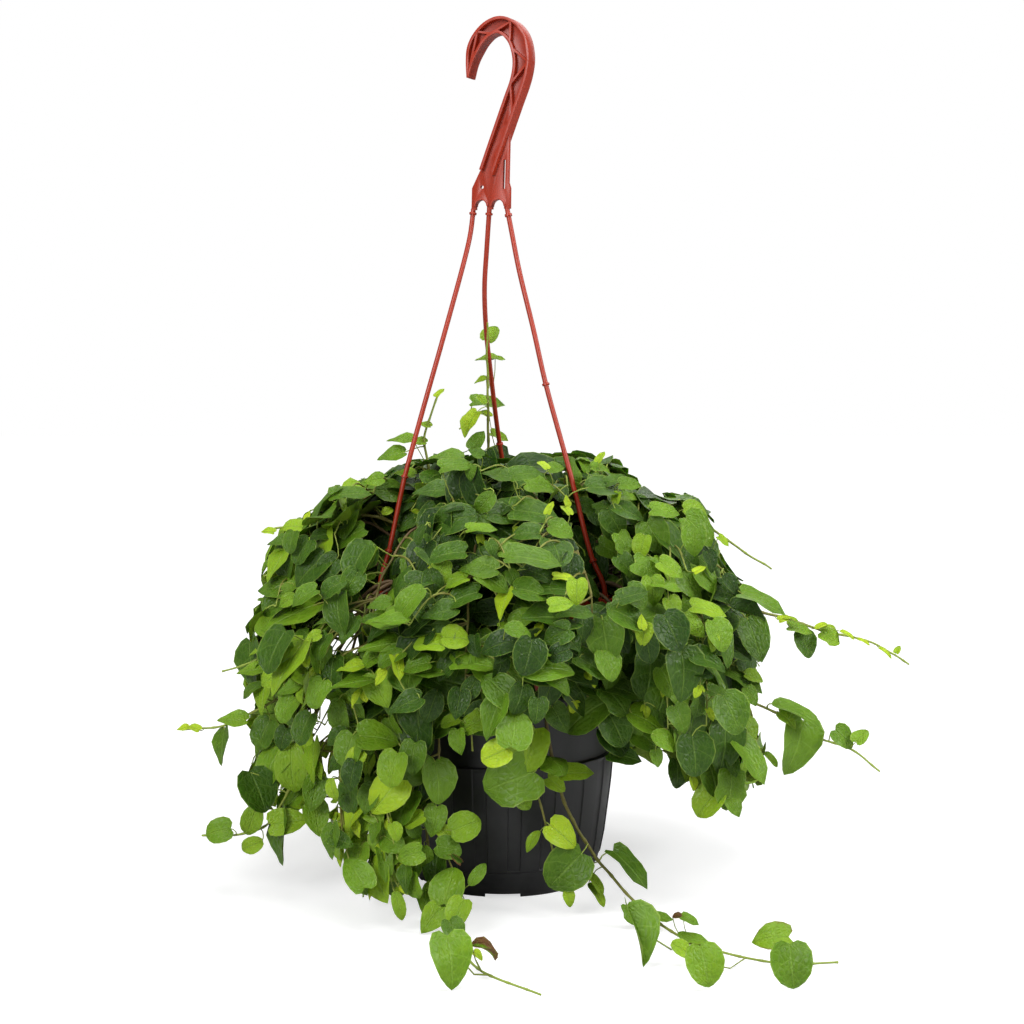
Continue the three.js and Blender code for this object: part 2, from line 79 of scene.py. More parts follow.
def linear(hex_colour):
    """An sRGB hex colour as linear red, green and blue, with alpha 1"""
    shares = [int(hex_colour[i : i + 2], 16) / 255 for i in (1, 3, 5)]
    return (*[((s + 0.055) / 1.055) ** 2.4 if s > 0.04045 else s / 12.92 for s in shares], 1)


def give(tree, node, inputs):
    """Sets each input of a node: to a value, or linked to an output or to another node's first output"""
    for key, value in inputs.items():
        if isinstance(value, bpy.types.Node):
            value = value.outputs[0]
        if isinstance(value, bpy.types.NodeSocket):
            tree.links.new(value, node.inputs[key])
        else:
            node.inputs[key].default_value = value


def add(tree, kind, inputs=None, **settings):
    """A new node with its settings and its inputs"""
    node = tree.nodes.new(kind)
    for name, value in settings.items():
        setattr(node, name, value)
    give(tree, node, inputs or {})
    return node


def new_material(name):
    """A material with one Principled shader, as (material, node tree, shader)"""
    material = bpy.data.materials.new(name)
    material.use_nodes = True
    tree = material.node_tree
    tree.nodes.clear()
    shader = add(tree, "ShaderNodeBsdfPrincipled")
    add(tree, "ShaderNodeOutputMaterial", {"Surface": shader})
    print("material:", name)
    return material, tree, shader


def fill_ramp(ramp, *stops):
    """Sets the stops of a colour ramp from (place, hex colour) pairs"""
    elements = ramp.color_ramp.elements
    while len(elements) < len(stops):
        elements.new(0.5)
    for element, (place, colour) in zip(elements, stops):
        element.position = place
        element.color = linear(colour)


# %% [markdown]
# The camera stands a little above the middle of the plant and looks slightly down, as the photographer
# did. Its height, distance and lens were worked out from the pot's outline: the width of the mouth, the
# curve of the foot and the height of the hook all have to fall on the same places in the picture.

# %% Camera
CAMERA_TILT = math.radians(4.5)
CAMERA_DISTANCE = 1400.0
TARGET = Vector((6.9, 0.0, 280.6))
MM_PER_PIXEL = 0.763
PICTURE = 1024

view_dir = Vector((0, math.cos(CAMERA_TILT), -math.sin(CAMERA_TILT)))
view_up = Vector((0, math.sin(CAMERA_TILT), math.cos(CAMERA_TILT)))
eye = TARGET - view_dir * CAMERA_DISTANCE
focal_pixels = CAMERA_DISTANCE / MM_PER_PIXEL

lens = bpy.data.cameras.new("camera")
lens.sensor_width = 36
lens.lens = 36 * focal_pixels / PICTURE
lens.clip_start = 0.05
lens.clip_end = 60
camera = bpy.data.objects.new("camera", lens)
camera.location = eye * MM
camera.rotation_euler = (math.pi / 2 - CAMERA_TILT, 0, 0)
bpy.context.scene.collection.objects.link(camera)
bpy.context.scene.camera = camera
print("lens in mm:", round(lens.lens, 1), "eye height in mm:", round(eye.z, 1))


def seen_at(u, v, depth):
    """The point that a picture place (u, v) shows on the upright plane y = depth"""
    ray = view_dir + Vector((1, 0, 0)) * ((u - PICTURE / 2) / focal_pixels)
    ray += view_up * ((PICTURE / 2 - v) / focal_pixels)
    return eye + ray * ((depth - eye.y) / ray.y)


# %% [markdown]
# The plant was photographed on a white paper sweep under a very large softbox overhead, with weaker
# light from the front. So the leaves are bright above and dark below, and the gaps between them stay
# deep. The paper is lit by itself until it is plain white, which a little glow in its shader gives.

# %% Floor and light
scene = bpy.context.scene
scene.view_settings.view_transform = "Standard"

FLOOR_HALF = 9.0
floor_mesh = bpy.data.meshes.new("floor")
corners = [(-FLOOR_HALF, -FLOOR_HALF), (FLOOR_HALF, -FLOOR_HALF), (FLOOR_HALF, FLOOR_HALF)]
corners.append((-FLOOR_HALF, FLOOR_HALF))
floor_mesh.from_pydata([(x, y, 0) for x, y in corners], [], [(0, 1, 2, 3)])
floor = bpy.data.objects.new("floor", floor_mesh)
scene.collection.objects.link(floor)
WHITE = (1, 1, 1, 1)
paper, tree, shader = new_material("white_paper_sweep")
give(tree, shader, {"Base Color": linear("#C4C4C4"), "Roughness": 0.9, "Specular IOR Level": 0.1})
spot = add(tree, "ShaderNodeTexCoord").outputs["Object"]
away = add(tree, "ShaderNodeVectorMath", {0: spot}, operation="LENGTH").outputs["Value"]
glow = add(tree, RANGE, {"Value": away, 1: 0.25, 2: 2.2, 3: 0.62, 4: 0.92})
seen = add(tree, "ShaderNodeLightPath").outputs["Is Camera Ray"]
shown = add(tree, MATH, {0: glow, 1: seen}, operation="MULTIPLY")
give(tree, shader, {"Emission Color": WHITE, "Emission Strength": shown})
floor_mesh.materials.append(paper)

# The world is white where the camera sees it, and dimmer as a light
world = bpy.data.worlds.new("white_studio")
world.use_nodes = True
scene.world = world
tree = world.node_tree
seen = add(tree, "ShaderNodeLightPath").outputs["Is Camera Ray"]
strength = add(tree, RANGE, {"Value": seen, 1: 0, 2: 1, 3: 0.25, 4: 1})
give(tree, tree.nodes["Background"], {"Color": WHITE, "Strength": strength})


def soft_light(name, place, target, size, power):
    """A square area light at a place in metres, turned to a target"""
    lamp = bpy.data.lights.new(name, "AREA")
    lamp.size = size
    lamp.energy = power
    lamp_object = bpy.data.objects.new(name, lamp)
    lamp_object.location = place
    lamp_object.rotation_euler = (Vector(target) - Vector(place)).to_track_quat("-Z", "Y").to_euler()
    scene.collection.objects.link(lamp_object)


soft_light("overhead", (0.1, -0.45, 2.1), (0, 0, 0.3), 1.4, 30)
soft_light("front", (-1.1, -1.9, 1.3), (0, 0, 0.2), 1.0, 36)
soft_light("side", (1.7, -0.7, 1.1), (0, 0, 0.25), 0.8, 24)
soft_light("back", (0.5, 1.6, 1.3), (0, 0, 0.3), 1.0, 6)

# %% [markdown]
# Black polypropylene, injection moulded: the flower pot. Moulded black plastic shows a satin surface,
# because the steel mould is lightly etched, so it has a fine grain a few tenths of a millimetre across
# and a broad soft highlight. A little dust and handling turn it uneven, which the roughness follows.

# %% Material: black moulded polypropylene
GRAIN_BLACK = 0.9  # mm; the real grain is about 0.3 mm, drawn coarser so that it shows
POLYPROPYLENE_IOR = 1.49

black_plastic, tree, shader = new_material("black_moulded_polypropylene")
place = add(tree, "ShaderNodeTexCoord").outputs["Object"]
grain = add(tree, NOISE, {"Vector": place, "Scale": 1 / (GRAIN_BLACK * MM), "Detail": 2})
dust = add(tree, NOISE, {"Vector": place, "Scale": 28, "Detail": 6, "Roughness": 0.65})
dusty = add(tree, RANGE, {"Value": dust, 1: 0.42, 2: 0.75, 3: 0, 4: 1})
tone = add(tree, MIX, {0: dusty, 6: linear("#1B1B1C"), 7: linear("#2B2B2C")}, data_type="RGBA")
gloss = add(tree, RANGE, {"Value": dust, 1: 0.3, 2: 0.7, 3: 0.36, 4: 0.5})
bump = add(tree, "ShaderNodeBump", {"Strength": 0.25, "Distance": 0.1 * MM, "Height": grain})
finish = {"Base Color": tone.outputs[2], "Roughness": gloss, "Normal": bump, "IOR": POLYPROPYLENE_IOR}
give(tree, shader, finish)

# %% [markdown]
# Terracotta-coloured polypropylene, injection moulded: the bowl, the hook and its strands. The colour is
# a pigment all through the plastic, so it stays even, and flow in the mould leaves faint lighter
# streaks, which are drawn by a noise stretched upwards.

# %% Material: terracotta moulded polypropylene
GRAIN_TERRACOTTA = 1.2  # mm, drawn coarser than the real one

terracotta, tree, shader = new_material("terracotta_moulded_polypropylene")
place = add(tree, "ShaderNodeTexCoord").outputs["Object"]
stretched = add(tree, "ShaderNodeMapping", {"Vector": place, "Scale": (1.0, 1.0, 0.35)})
flow = add(tree, NOISE, {"Vector": stretched, "Scale": 90, "Detail": 4})
grain = add(tree, NOISE, {"Vector": place, "Scale": 1 / (GRAIN_TERRACOTTA * MM), "Detail": 2})
tone = add(tree, MIX, {0: flow, 6: linear("#92260E"), 7: linear("#A83318")}, data_type="RGBA")
gloss = add(tree, RANGE, {"Value": flow, 1: 0.3, 2: 0.7, 3: 0.34, 4: 0.46})
bump = add(tree, "ShaderNodeBump", {"Strength": 0.2, "Distance": 0.1 * MM, "Height": grain})
finish = {"Base Color": tone.outputs[2], "Roughness": gloss, "Normal": bump, "IOR": POLYPROPYLENE_IOR}
give(tree, shader, finish)

# %% [markdown]
# Peat potting soil, damp and crumbly: dark brown fibres with a few lighter wood chips. It has no
# gloss at all, and its roughness comes from crumbs as well as from this bump.

# %% Material: peat potting soil
potting_soil, tree, shader = new_material("damp_peat_potting_soil")
place = add(tree, "ShaderNodeTexCoord").outputs["Object"]
crumb = add(tree, NOISE, {"Vector": place, "Scale": 420, "Detail": 5, "Roughness": 0.7})
tone = add(tree, "ShaderNodeValToRGB", {"Fac": crumb})
fill_ramp(tone, (0.3, "#1A110B"), (0.55, "#33241A"), (0.72, "#5A4330"))
bump = add(tree, "ShaderNodeBump", {"Strength": 0.8, "Distance": 1.5 * MM, "Height": crumb})
give(tree, shader, {"Base Color": tone, "Roughness": 0.95, "Normal": bump})

# %% [markdown]
# A fig leaf blade is a waxy skin over soft green tissue. The pattern follows the leaf, so it reads the
# leaf's own UV map: across the blade from margin to margin, and along it from stalk to tip. The map's
# second tile holds the underside; the shader would take a third tile as stalk, but no leaf here has one.
# Each leaf carries three numbers of its own, its age, a tint and how far its edge has dried, and they travel
# with it as attributes.

# %% Material: waxy fig leaf
VEIN_PAIRS = 6.0
VEIN_SWEEP = 1.7  # how far, in vein spacings, a side vein runs forward on its way to the margin

leaf_skin, tree, shader = new_material("waxy_fig_leaf")
skin_place = add(tree, "ShaderNodeUVMap", uv_map="UVMap")
skin_axes = add(tree, "ShaderNodeSeparateXYZ", {0: skin_place}).outputs
age, tint, wear = [
    add(tree, "ShaderNodeAttribute", attribute_name=name).outputs["Fac"] for name in ("age", "tint", "wear")
]
place = add(tree, "ShaderNodeTexCoord").outputs["Object"]

tile = add(tree, MATH, {0: skin_axes[0]}, operation="FRACT")
across = add(tree, MATH, {0: tile, 1: 2, 2: -1}, operation="MULTIPLY_ADD")
edge = add(tree, MATH, {0: across}, operation="ABSOLUTE")
is_under = add(tree, MATH, {0: skin_axes[0], 1: 1}, operation="GREATER_THAN")
is_stalk = add(tree, MATH, {0: skin_axes[0], 1: 2}, operation="GREATER_THAN")

# The side veins: lines at even steps along the midrib that sweep forward towards the margin
step = add(tree, MATH, {0: skin_axes[1], 1: VEIN_PAIRS}, operation="MULTIPLY")
sweep = add(tree, MATH, {0: edge, 1: VEIN_SWEEP}, operation="MULTIPLY")
phase = add(tree, MATH, {0: step, 1: sweep}, operation="SUBTRACT")
wave = add(tree, MATH, {0: phase, 1: 1}, operation="PINGPONG")
side_vein = add(tree, RANGE, {"Value": wave, 1: 0.09, 2: 0.02, 3: 0, 4: 1})
midrib = add(tree, RANGE, {"Value": edge, 1: 0.075, 2: 0.02, 3: 0, 4: 1})
side_part = add(tree, MATH, {0: side_vein, 1: 0.6}, operation="MULTIPLY")
main_veins = add(tree, MATH, {0: side_part, 1: midrib}, operation="MAXIMUM")

# Between them a fine net of small veins, with the blade swelling up in every mesh of the net
net = add(tree, "ShaderNodeTexVoronoi", {"Vector": skin_place, "Scale": 9}, feature="DISTANCE_TO_EDGE")
cell_edge = net.outputs["Distance"]
mesh_line = add(tree, RANGE, {"Value": cell_edge, 1: 0.07, 2: 0, 3: 0, 4: 0.4})
vein = add(tree, MATH, {0: main_veins, 1: mesh_line}, operation="MAXIMUM")
margin = add(tree, RANGE, {"Value": edge, 1: 0.93, 2: 0.99, 3: 0, 4: 1})

# The top skin goes from lime through fresh green to dark green as the leaf ages
cloud = add(tree, NOISE, {"Vector": place, "Scale": 95, "Detail": 3})
sway = add(tree, MATH, {0: tint, 1: 0.24, 2: -0.12}, operation="MULTIPLY_ADD")
swayed = add(tree, MATH, {0: age, 1: sway}, operation="ADD")
mottled = add(tree, MATH, {0: cloud, 1: 0.2, 2: -0.1}, operation="MULTIPLY_ADD")
aged = add(tree, MATH, {0: swayed, 1: mottled}, operation="ADD", use_clamp=True)
top = add(tree, "ShaderNodeValToRGB", {"Fac": aged})
fill_ramp(top, (0, "#B2CC24"), (0.25, "#8BAC1E"), (0.5, "#628618"), (0.75, "#3A5A0F"), (1, "#213C09"))
under = add(tree, "ShaderNodeValToRGB", {"Fac": aged})
fill_ramp(under, (0, "#B2CD34"), (0.5, "#7C9726"), (1, "#567624"))
paleness = add(tree, MATH, {0: aged, 1: -0.44, 2: 0.6}, operation="MULTIPLY_ADD")
vein_share = add(tree, MATH, {0: vein, 1: paleness}, operation="MULTIPLY")
margin_share = add(tree, MATH, {0: margin, 1: 0.42}, operation="MULTIPLY")

# Dried edges: brown from the margin inwards, as far as the leaf's wear says
blotch = add(tree, NOISE, {"Vector": place, "Scale": 130, "Detail": 4})
reach = add(tree, MATH, {0: blotch, 1: 0.9, 2: edge}, operation="MULTIPLY_ADD")
worn = add(tree, MATH, {0: reach, 1: wear}, operation="MULTIPLY")
dry = add(tree, RANGE, {"Value": worn, 1: 0.62, 2: 0.8, 3: 0, 4: 1})

# Each layer covers the one before it by its share: veins, margin, underside, stalk, dried edge
layers = [(vein_share, linear("#8CAE48")), (margin_share, linear("#98B348")), (is_under, under)]
layers += [(is_stalk, linear("#9AA648")), (dry, linear("#6E4A2C"))]
tone = top
for share, colour in layers:
    tone = add(tree, MIX, {0: share, 6: tone, 7: colour}, data_type="RGBA").outputs[2]

# The skin is quilted between the veins, and glossier on top than below
swell = add(tree, RANGE, {"Value": cell_edge, 1: 0, 2: 0.35, 3: 0, 4: 0.7})
quilt = add(tree, MATH, {0: wave, 1: 0.35, 2: swell}, operation="MULTIPLY_ADD")
ribbed = add(tree, MATH, {0: quilt, 1: midrib}, operation="SUBTRACT")
bump = add(tree, "ShaderNodeBump", {"Strength": 0.8, "Distance": 0.6 * MM, "Height": ribbed})
side_gloss = add(tree, MATH, {0: is_under, 1: 0.24, 2: 0.33}, operation="MULTIPLY_ADD")
gloss = add(tree, MATH, {0: cloud, 1: 0.16, 2: side_gloss}, operation="MULTIPLY_ADD")
give(tree, shader, {"Base Color": tone, "Roughness": gloss, "Normal": bump})
give(tree, shader, {"IOR": 1.42, "Specular IOR Level": 0.34, "Subsurface Weight": 0.12})
give(tree, shader, {"Subsurface Radius": (0.4, 1.0, 0.15), "Subsurface Scale": 1.0 * MM})

# %% [markdown]
# Fig stems: bark on the old wood, green skin near the tips. The stem's age attribute runs from the
# root to the tip and picks the colour, and a fine noise breaks it up into the fibres of the bark.

# %% Material: young fig bark
fig_bark, tree, shader = new_material("young_fig_bark")
age = add(tree, "ShaderNodeAttribute", attribute_name="age").outputs["Fac"]
place = add(tree, "ShaderNodeTexCoord").outputs["Object"]
fibre = add(tree, NOISE, {"Vector": place, "Scale": 380, "Detail": 4})
sway = add(tree, MATH, {0: fibre, 1: 0.5, 2: -0.25}, operation="MULTIPLY_ADD")
aged = add(tree, MATH, {0: age, 1: sway}, operation="ADD", use_clamp=True)
tone = add(tree, "ShaderNodeValToRGB", {"Fac": aged})
fill_ramp(tone, (0, "#8C9F3C"), (0.3, "#76762F"), (0.65, "#5F4A2A"), (1, "#3E2C1D"))
bump = add(tree, "ShaderNodeBump", {"Strength": 0.4, "Distance": 0.3 * MM, "Height": fibre})
give(tree, shader, {"Base Color": tone, "Roughness": 0.62, "Normal": bump})

# %% [markdown]
# Three small steps come back for every piece. A mesh made from points and faces is given smooth shading
# with sharp edges where it turns by more than an angle. A temporary object carries it through Boolean
# or Geometry Nodes modifiers, and the result is taken off as a plain mesh. At the end the piece is put
# in the scene, tied to the pot's body and swapped for its plain solid.

# %% Helpers: meshes and finished pieces


def mesh_of(name, points, faces):
    """A mesh from points in millimetres"""
    mesh = bpy.data.meshes.new(name)
    mesh.from_pydata([(x * MM, y * MM, z * MM) for x, y, z in points], [], faces)
    mesh.validate()
    return mesh


def outward(mesh):
    """Turns all faces of a closed mesh outwards"""
    shape = bmesh.new()
    shape.from_mesh(mesh)
    bmesh.ops.remove_doubles(shape, verts=shape.verts, dist=0.001 * MM)
    bmesh.ops.recalc_face_normals(shape, faces=shape.faces)
    shape.to_mesh(mesh)
    shape.free()
    return mesh


def modified(mesh, kind, **settings):
    """The plain mesh that one modifier makes of a mesh"""
    carrier = bpy.data.objects.new("carrier", mesh)
    scene.collection.objects.link(carrier)
    modifier = carrier.modifiers.new("step", kind)
    for name, value in settings.items():
        setattr(modifier, name, value)
    result = bpy.data.meshes.new_from_object(carrier.evaluated_get(bpy.context.evaluated_depsgraph_get()))
    bpy.data.objects.remove(carrier)
    return result


def cut_or_joined(mesh, tool_mesh, operation):
    """A closed mesh after an exact Boolean with another one"""
    tool = bpy.data.objects.new("tool", tool_mesh)
    scene.collection.objects.link(tool)
    result = modified(mesh, "BOOLEAN", object=tool, operation=operation, solver="EXACT")
    bpy.data.objects.remove(tool)
    return result


def finish_piece(name, mesh, materials, slot, *nodes):
    """Puts a finished mesh in the scene in place of the plain solids it stands for"""
    mesh.name = name
    for material in materials:
        mesh.materials.append(material)
    piece = bpy.data.objects.new(name, mesh)
    scene.collection.objects.link(piece)
    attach(piece, "root")
    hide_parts(*nodes)
    mesh.calc_loop_triangles()
    print(name, "triangles:", len(mesh.loop_triangles))


def edged(mesh, degrees):
    """Smooth shading, with a sharp edge wherever two faces meet at more than this angle"""
    mesh.shade_smooth()
    mesh.set_sharp_from_angle(angle=math.radians(degrees))
    return mesh


def turned(name, profile, azimuths, change=None):
    """A solid of revolution from [radius, height] points, whose first and last points are on the axis

    The change, when given, moves a point's radius: change(radius, height, azimuth in degrees).
    """
    ring = profile[1:-1]
    points = [(0, 0, profile[0][1])]
    for radius, height in ring:
        for azimuth in azimuths:
            angle = math.radians(azimuth)
            reach = change(radius, height, azimuth) if change else radius
            points.append((reach * math.sin(angle), -reach * math.cos(angle), height))
    points.append((0, 0, profile[-1][1]))
    around_count = len(azimuths)
    faces = []
    for j in range(around_count):
        k = (j + 1) % around_count
        faces.append((0, 1 + k, 1 + j))
        last = 1 + (len(ring) - 1) * around_count
        faces.append((last + j, last + k, len(points) - 1))
        for i in range(len(ring) - 1):
            low = 1 + i * around_count
            faces.append((low + j, low + k, low + around_count + k, low + around_count + j))
    return outward(mesh_of(name, points, faces))


# %% [markdown]
# The flower pot is a turned shape with twenty shallow flutes. A lathe of its profile gives the body, and
# the flutes are part of it: a narrow strip at every eighteen degrees is set in by about a millimetre,
# which needs columns of points just inside and just outside each edge. Six notches in the foot ring and
# six drain holes are cut afterwards, because they follow no ring or column of the lathe.

# %% The black flower pot
FLUTES = 20
FLUTE_START = 6.3
FLUTE_DEPTH = 0.9
FLUTE_LOW = 22.5
FLUTE_HIGH = 97.5
FLUTE_STEPS = [-3.7, -3.2, -1.2, 1.2, 3.2, 3.7, 5.1, 7.0, 9.0, 11.0, 12.9]

POT_PROFILE = [
    (0, 0), (17.4, 0), (18, 0.5), (19, 3), (58, 3), (59, 0.4), (59.6, 0), (65.2, 0), (66, 0.5),
    (69.9, 8), (73.3, 15.8), (73.9, 18.6), (74.2, 20), (75, 20.6), (75.5, 21.4), (75.7, 22.5), (75.9, 23.4),
    (78.4, 36), (80.4, 52), (82.3, 66), (83.7, 78), (84.6, 89), (85.1, 96.6), (85.2, 97.5), (85.3, 99.4),
    (85.1, 99.8), (84.7, 100), (82.6, 100.1), (82.1, 100.4), (82, 101), (83.2, 114), (84.6, 130),
    (86, 147), (86.4, 147.4), (88, 147.5), (88.5, 148), (88.5, 151.4), (88.1, 151.9), (87.6, 152),
    (86.6, 152), (86.1, 151.7), (86, 151), (84.2, 140), (80.2, 101), (80.1, 100), (80.2, 76),
    (76.2, 46), (72.1, 20), (67.5, 10), (63.6, 5.6), (62, 5.2), (0, 5.2),
]


def fluted(radius, height, azimuth):
    """The radius with a flute set in, on the outside of the body only"""
    beside = (azimuth - FLUTE_START + 180 / FLUTES) % (360 / FLUTES) - 180 / FLUTES
    if radius < 74.5 or not FLUTE_LOW <= height <= FLUTE_HIGH:
        return radius
    if abs(beside) < 3.4:
        return radius - FLUTE_DEPTH
    return radius


pot_azimuths = [FLUTE_START + 360 / FLUTES * i + step for i in range(FLUTES) for step in FLUTE_STEPS]
pot_mesh = turned("flower_pot", POT_PROFILE, pot_azimuths, fluted)


def box_points(middle, size, azimuth):
    """The eight corners and six faces of a box turned about the upright axis"""
    turn = Matrix.Rotation(math.radians(azimuth), 3, "Z")
    ring = [(-1, -1), (1, -1), (1, 1), (-1, 1)]
    corners = [Vector((x * size[0], y * size[1], z * size[2])) / 2 for z in (-1, 1) for x, y in ring]
    points = [Vector(middle) + turn @ corner for corner in corners]
    faces = [(0, 3, 2, 1), (4, 5, 6, 7), (0, 1, 5, 4), (1, 2, 6, 5), (2, 3, 7, 6), (3, 0, 4, 7)]
    return points, faces


def drum_points(middle, radius, height, sides=32):
    """The points and faces of an upright round bar"""
    points = []
    for level in (-0.5, 0.5):
        for i in range(sides):
            angle = 2 * math.pi * i / sides
            out = Vector((radius * math.cos(angle), radius * math.sin(angle), level * height))
            points.append(Vector(middle) + out)
    faces = [tuple(range(sides - 1, -1, -1)), tuple(range(sides, 2 * sides))]
    faces += [(i, (i + 1) % sides, sides + (i + 1) % sides, sides + i) for i in range(sides)]
    return points, faces


def together(name, solids):
    """One mesh from several lists of points and faces that don't touch"""
    points, faces = [], []
    for some_points, some_faces in solids:
        faces += [tuple(len(points) + i for i in face) for face in some_faces]
        points += some_points
    return outward(mesh_of(name, points, faces))


def around(azimuth, radius, height):
    """A point from its azimuth in degrees (0 faces the viewer, 90 is on the right), radius and height"""
    angle = math.radians(azimuth)
    return Vector((radius * math.sin(angle), -radius * math.cos(angle), height))


notches = [box_points(around(60 * i, 63, 0), (26, 16, 5.6), 60 * i) for i in range(6)]
drains = [drum_points(around(60 * i + 30, 42, 4), 4, 20) for i in range(6)]
pot_mesh = cut_or_joined(pot_mesh, together("pot_cutters", notches + drains), "DIFFERENCE")
finish_piece("flower_pot", edged(pot_mesh, 24), [black_plastic], "black_plastic", "cover_pot")

# %% [markdown]
# The hanging bowl is a plain turned bowl with a rolled rim, and three small tabs with an eyelet each,
# where the strands of the hanger snap in. Only patches of it show between the leaves, but it stands
# free of the pot's mouth all round, so it's made whole, with its drain holes.

# %% The terracotta hanging bowl
BOWL_PROFILE = [
    (0, 120), (58.6, 120), (60, 120.3), (66, 122), (71, 125), (75.6, 130), (79, 136), (82.8, 144),
    (85.7, 152), (87.6, 166), (88.8, 180), (89.8, 200), (90.5, 215.4), (90.9, 216), (92.8, 216.4),
    (93.4, 217), (93.4, 221), (93, 221.7), (92.2, 222), (91.2, 222), (90.4, 221.6), (89.4, 219),
    (88.3, 216), (87.6, 200), (86.6, 180), (85.3, 166), (83.2, 152), (80, 143), (76.6, 136.6),
    (72.6, 130.6), (69.5, 127), (64, 124), (59, 122.2), (0, 122.2),
]
EYE_PLACE = 98.5
TAB_AZIMUTHS = {"left": -70, "right": 50, "back": 170}

bowl_mesh = turned("hanging_bowl", BOWL_PROFILE, [2.5 * i for i in range(144)])
tabs = []
eyes = []
for azimuth in TAB_AZIMUTHS.values():
    tabs.append(box_points(around(azimuth, 95.2, 220.8), (15, 8, 2.4), azimuth))
    eyes.append(drum_points(around(azimuth, EYE_PLACE, 220.8), 2.9, 8))
ends = [drum_points(around(azimuth, 97, 220.8), 7.5, 2.4) for azimuth in TAB_AZIMUTHS.values()]
bowl_mesh = cut_or_joined(bowl_mesh, together("tabs", tabs), "UNION")
bowl_mesh = cut_or_joined(bowl_mesh, together("tab_ends", ends), "UNION")
drains = [drum_points(around(90 * i, 36, 120), 4, 12) for i in range(4)]
bowl_mesh = cut_or_joined(bowl_mesh, together("bowl_cutters", eyes + drains), "DIFFERENCE")
finish_piece("hanging_bowl", edged(bowl_mesh, 30), [terracotta], "terracotta_plastic", "hanging_bowl")

# %% [markdown]
# The soil fills the bowl to just under its rim. Its surface is a disc of points raised by noise at two
# sizes. Crumbs lie on it: Geometry Nodes scatter points over the upward faces with a fixed seed and put
# a small rough lump on each, turned and scaled by chance.

# %% The potting soil
SOIL_RINGS = 24
SOIL_COLUMNS = 96
SOIL_SIDE = [(88.2, 212), (85.8, 180), (82.8, 152.5), (76.4, 138), (69, 128.6), (58, 122.6)]


def soil_height(x, y):
    """The height of the soil's surface, lowest at the rim and lumpy all over"""
    low = noise.noise(Vector((x, y, 3)) * 0.045)
    fine = noise.noise(Vector((x, y, 9)) * 0.2)
    edge = max(0.0, (math.hypot(x, y) - 70) / 18)
    return 213.2 + 0.6 * low + 0.35 * fine - 0.8 * edge


points = [(0, 0, soil_height(0, 0))]
for i in range(1, SOIL_RINGS + 1):
    for j in range(SOIL_COLUMNS):
        spot = around(360 * j / SOIL_COLUMNS, 87.4 * i / SOIL_RINGS, 0)
        points.append((spot.x, spot.y, soil_height(spot.x, spot.y)))
for radius, height in SOIL_SIDE:
    points += [tuple(around(360 * j / SOIL_COLUMNS, radius, height)) for j in range(SOIL_COLUMNS)]
points.append((0, 0, 122.6))
faces = []
rings = SOIL_RINGS + len(SOIL_SIDE)
for j in range(SOIL_COLUMNS):
    k = (j + 1) % SOIL_COLUMNS
    faces.append((0, 1 + j, 1 + k))
    last = 1 + (rings - 1) * SOIL_COLUMNS
    faces.append((last + k, last + j, len(points) - 1))
    for i in range(rings - 1):
        first = 1 + i * SOIL_COLUMNS
        faces.append((first + j, first + SOIL_COLUMNS + j, first + SOIL_COLUMNS + k, first + k))
soil_mesh = edged(outward(mesh_of("soil_body", points, faces)), 60)

crumb_mesh = bpy.data.meshes.new("crumb")
lump = bmesh.new()
bmesh.ops.create_icosphere(lump, subdivisions=1, radius=1.0)
for vertex in lump.verts:
    vertex.co *= 1 + 0.5 * noise.noise(vertex.co * 1.7)
lump.to_mesh(crumb_mesh)
lump.free()
crumb_object = bpy.data.objects.new("crumb", crumb_mesh)


def new_tree(name, sockets):
    """An empty Geometry Nodes tree with its group input and output, as (tree, input node, output node)"""
    tree = bpy.data.node_groups.new(name, "GeometryNodeTree")
    tree.interface.new_socket("Geometry", in_out="INPUT", socket_type="NodeSocketGeometry")
    for socket_name, kind in sockets:
        tree.interface.new_socket(socket_name, in_out="INPUT", socket_type=f"NodeSocket{kind}")
    tree.interface.new_socket("Geometry", in_out="OUTPUT", socket_type="NodeSocketGeometry")
    return tree, add(tree, "NodeGroupInput"), add(tree, "NodeGroupOutput")


def grown(mesh, tree, values):
    """The plain mesh that a Geometry Nodes tree makes of a mesh, with its named inputs set"""
    carrier = bpy.data.objects.new("carrier", mesh)
    scene.collection.objects.link(carrier)
    modifier = carrier.modifiers.new("nodes", "NODES")
    modifier.node_group = tree
    for item in tree.interface.items_tree:
        if item.in_out == "INPUT" and item.name in values:
            modifier[item.identifier] = values[item.name]
    result = bpy.data.meshes.new_from_object(carrier.evaluated_get(bpy.context.evaluated_depsgraph_get()))
    bpy.data.objects.remove(carrier)
    numbers = np.zeros(len(result.polygons), int)
    result.polygons.foreach_get("material_index", numbers)
    used = [material for material in result.materials if material]
    numbers -= len(result.materials) - len(used)
    result.materials.clear()
    for material in used:
        result.materials.append(material)
    result.polygons.foreach_set("material_index", np.maximum(numbers, 0))
    return result


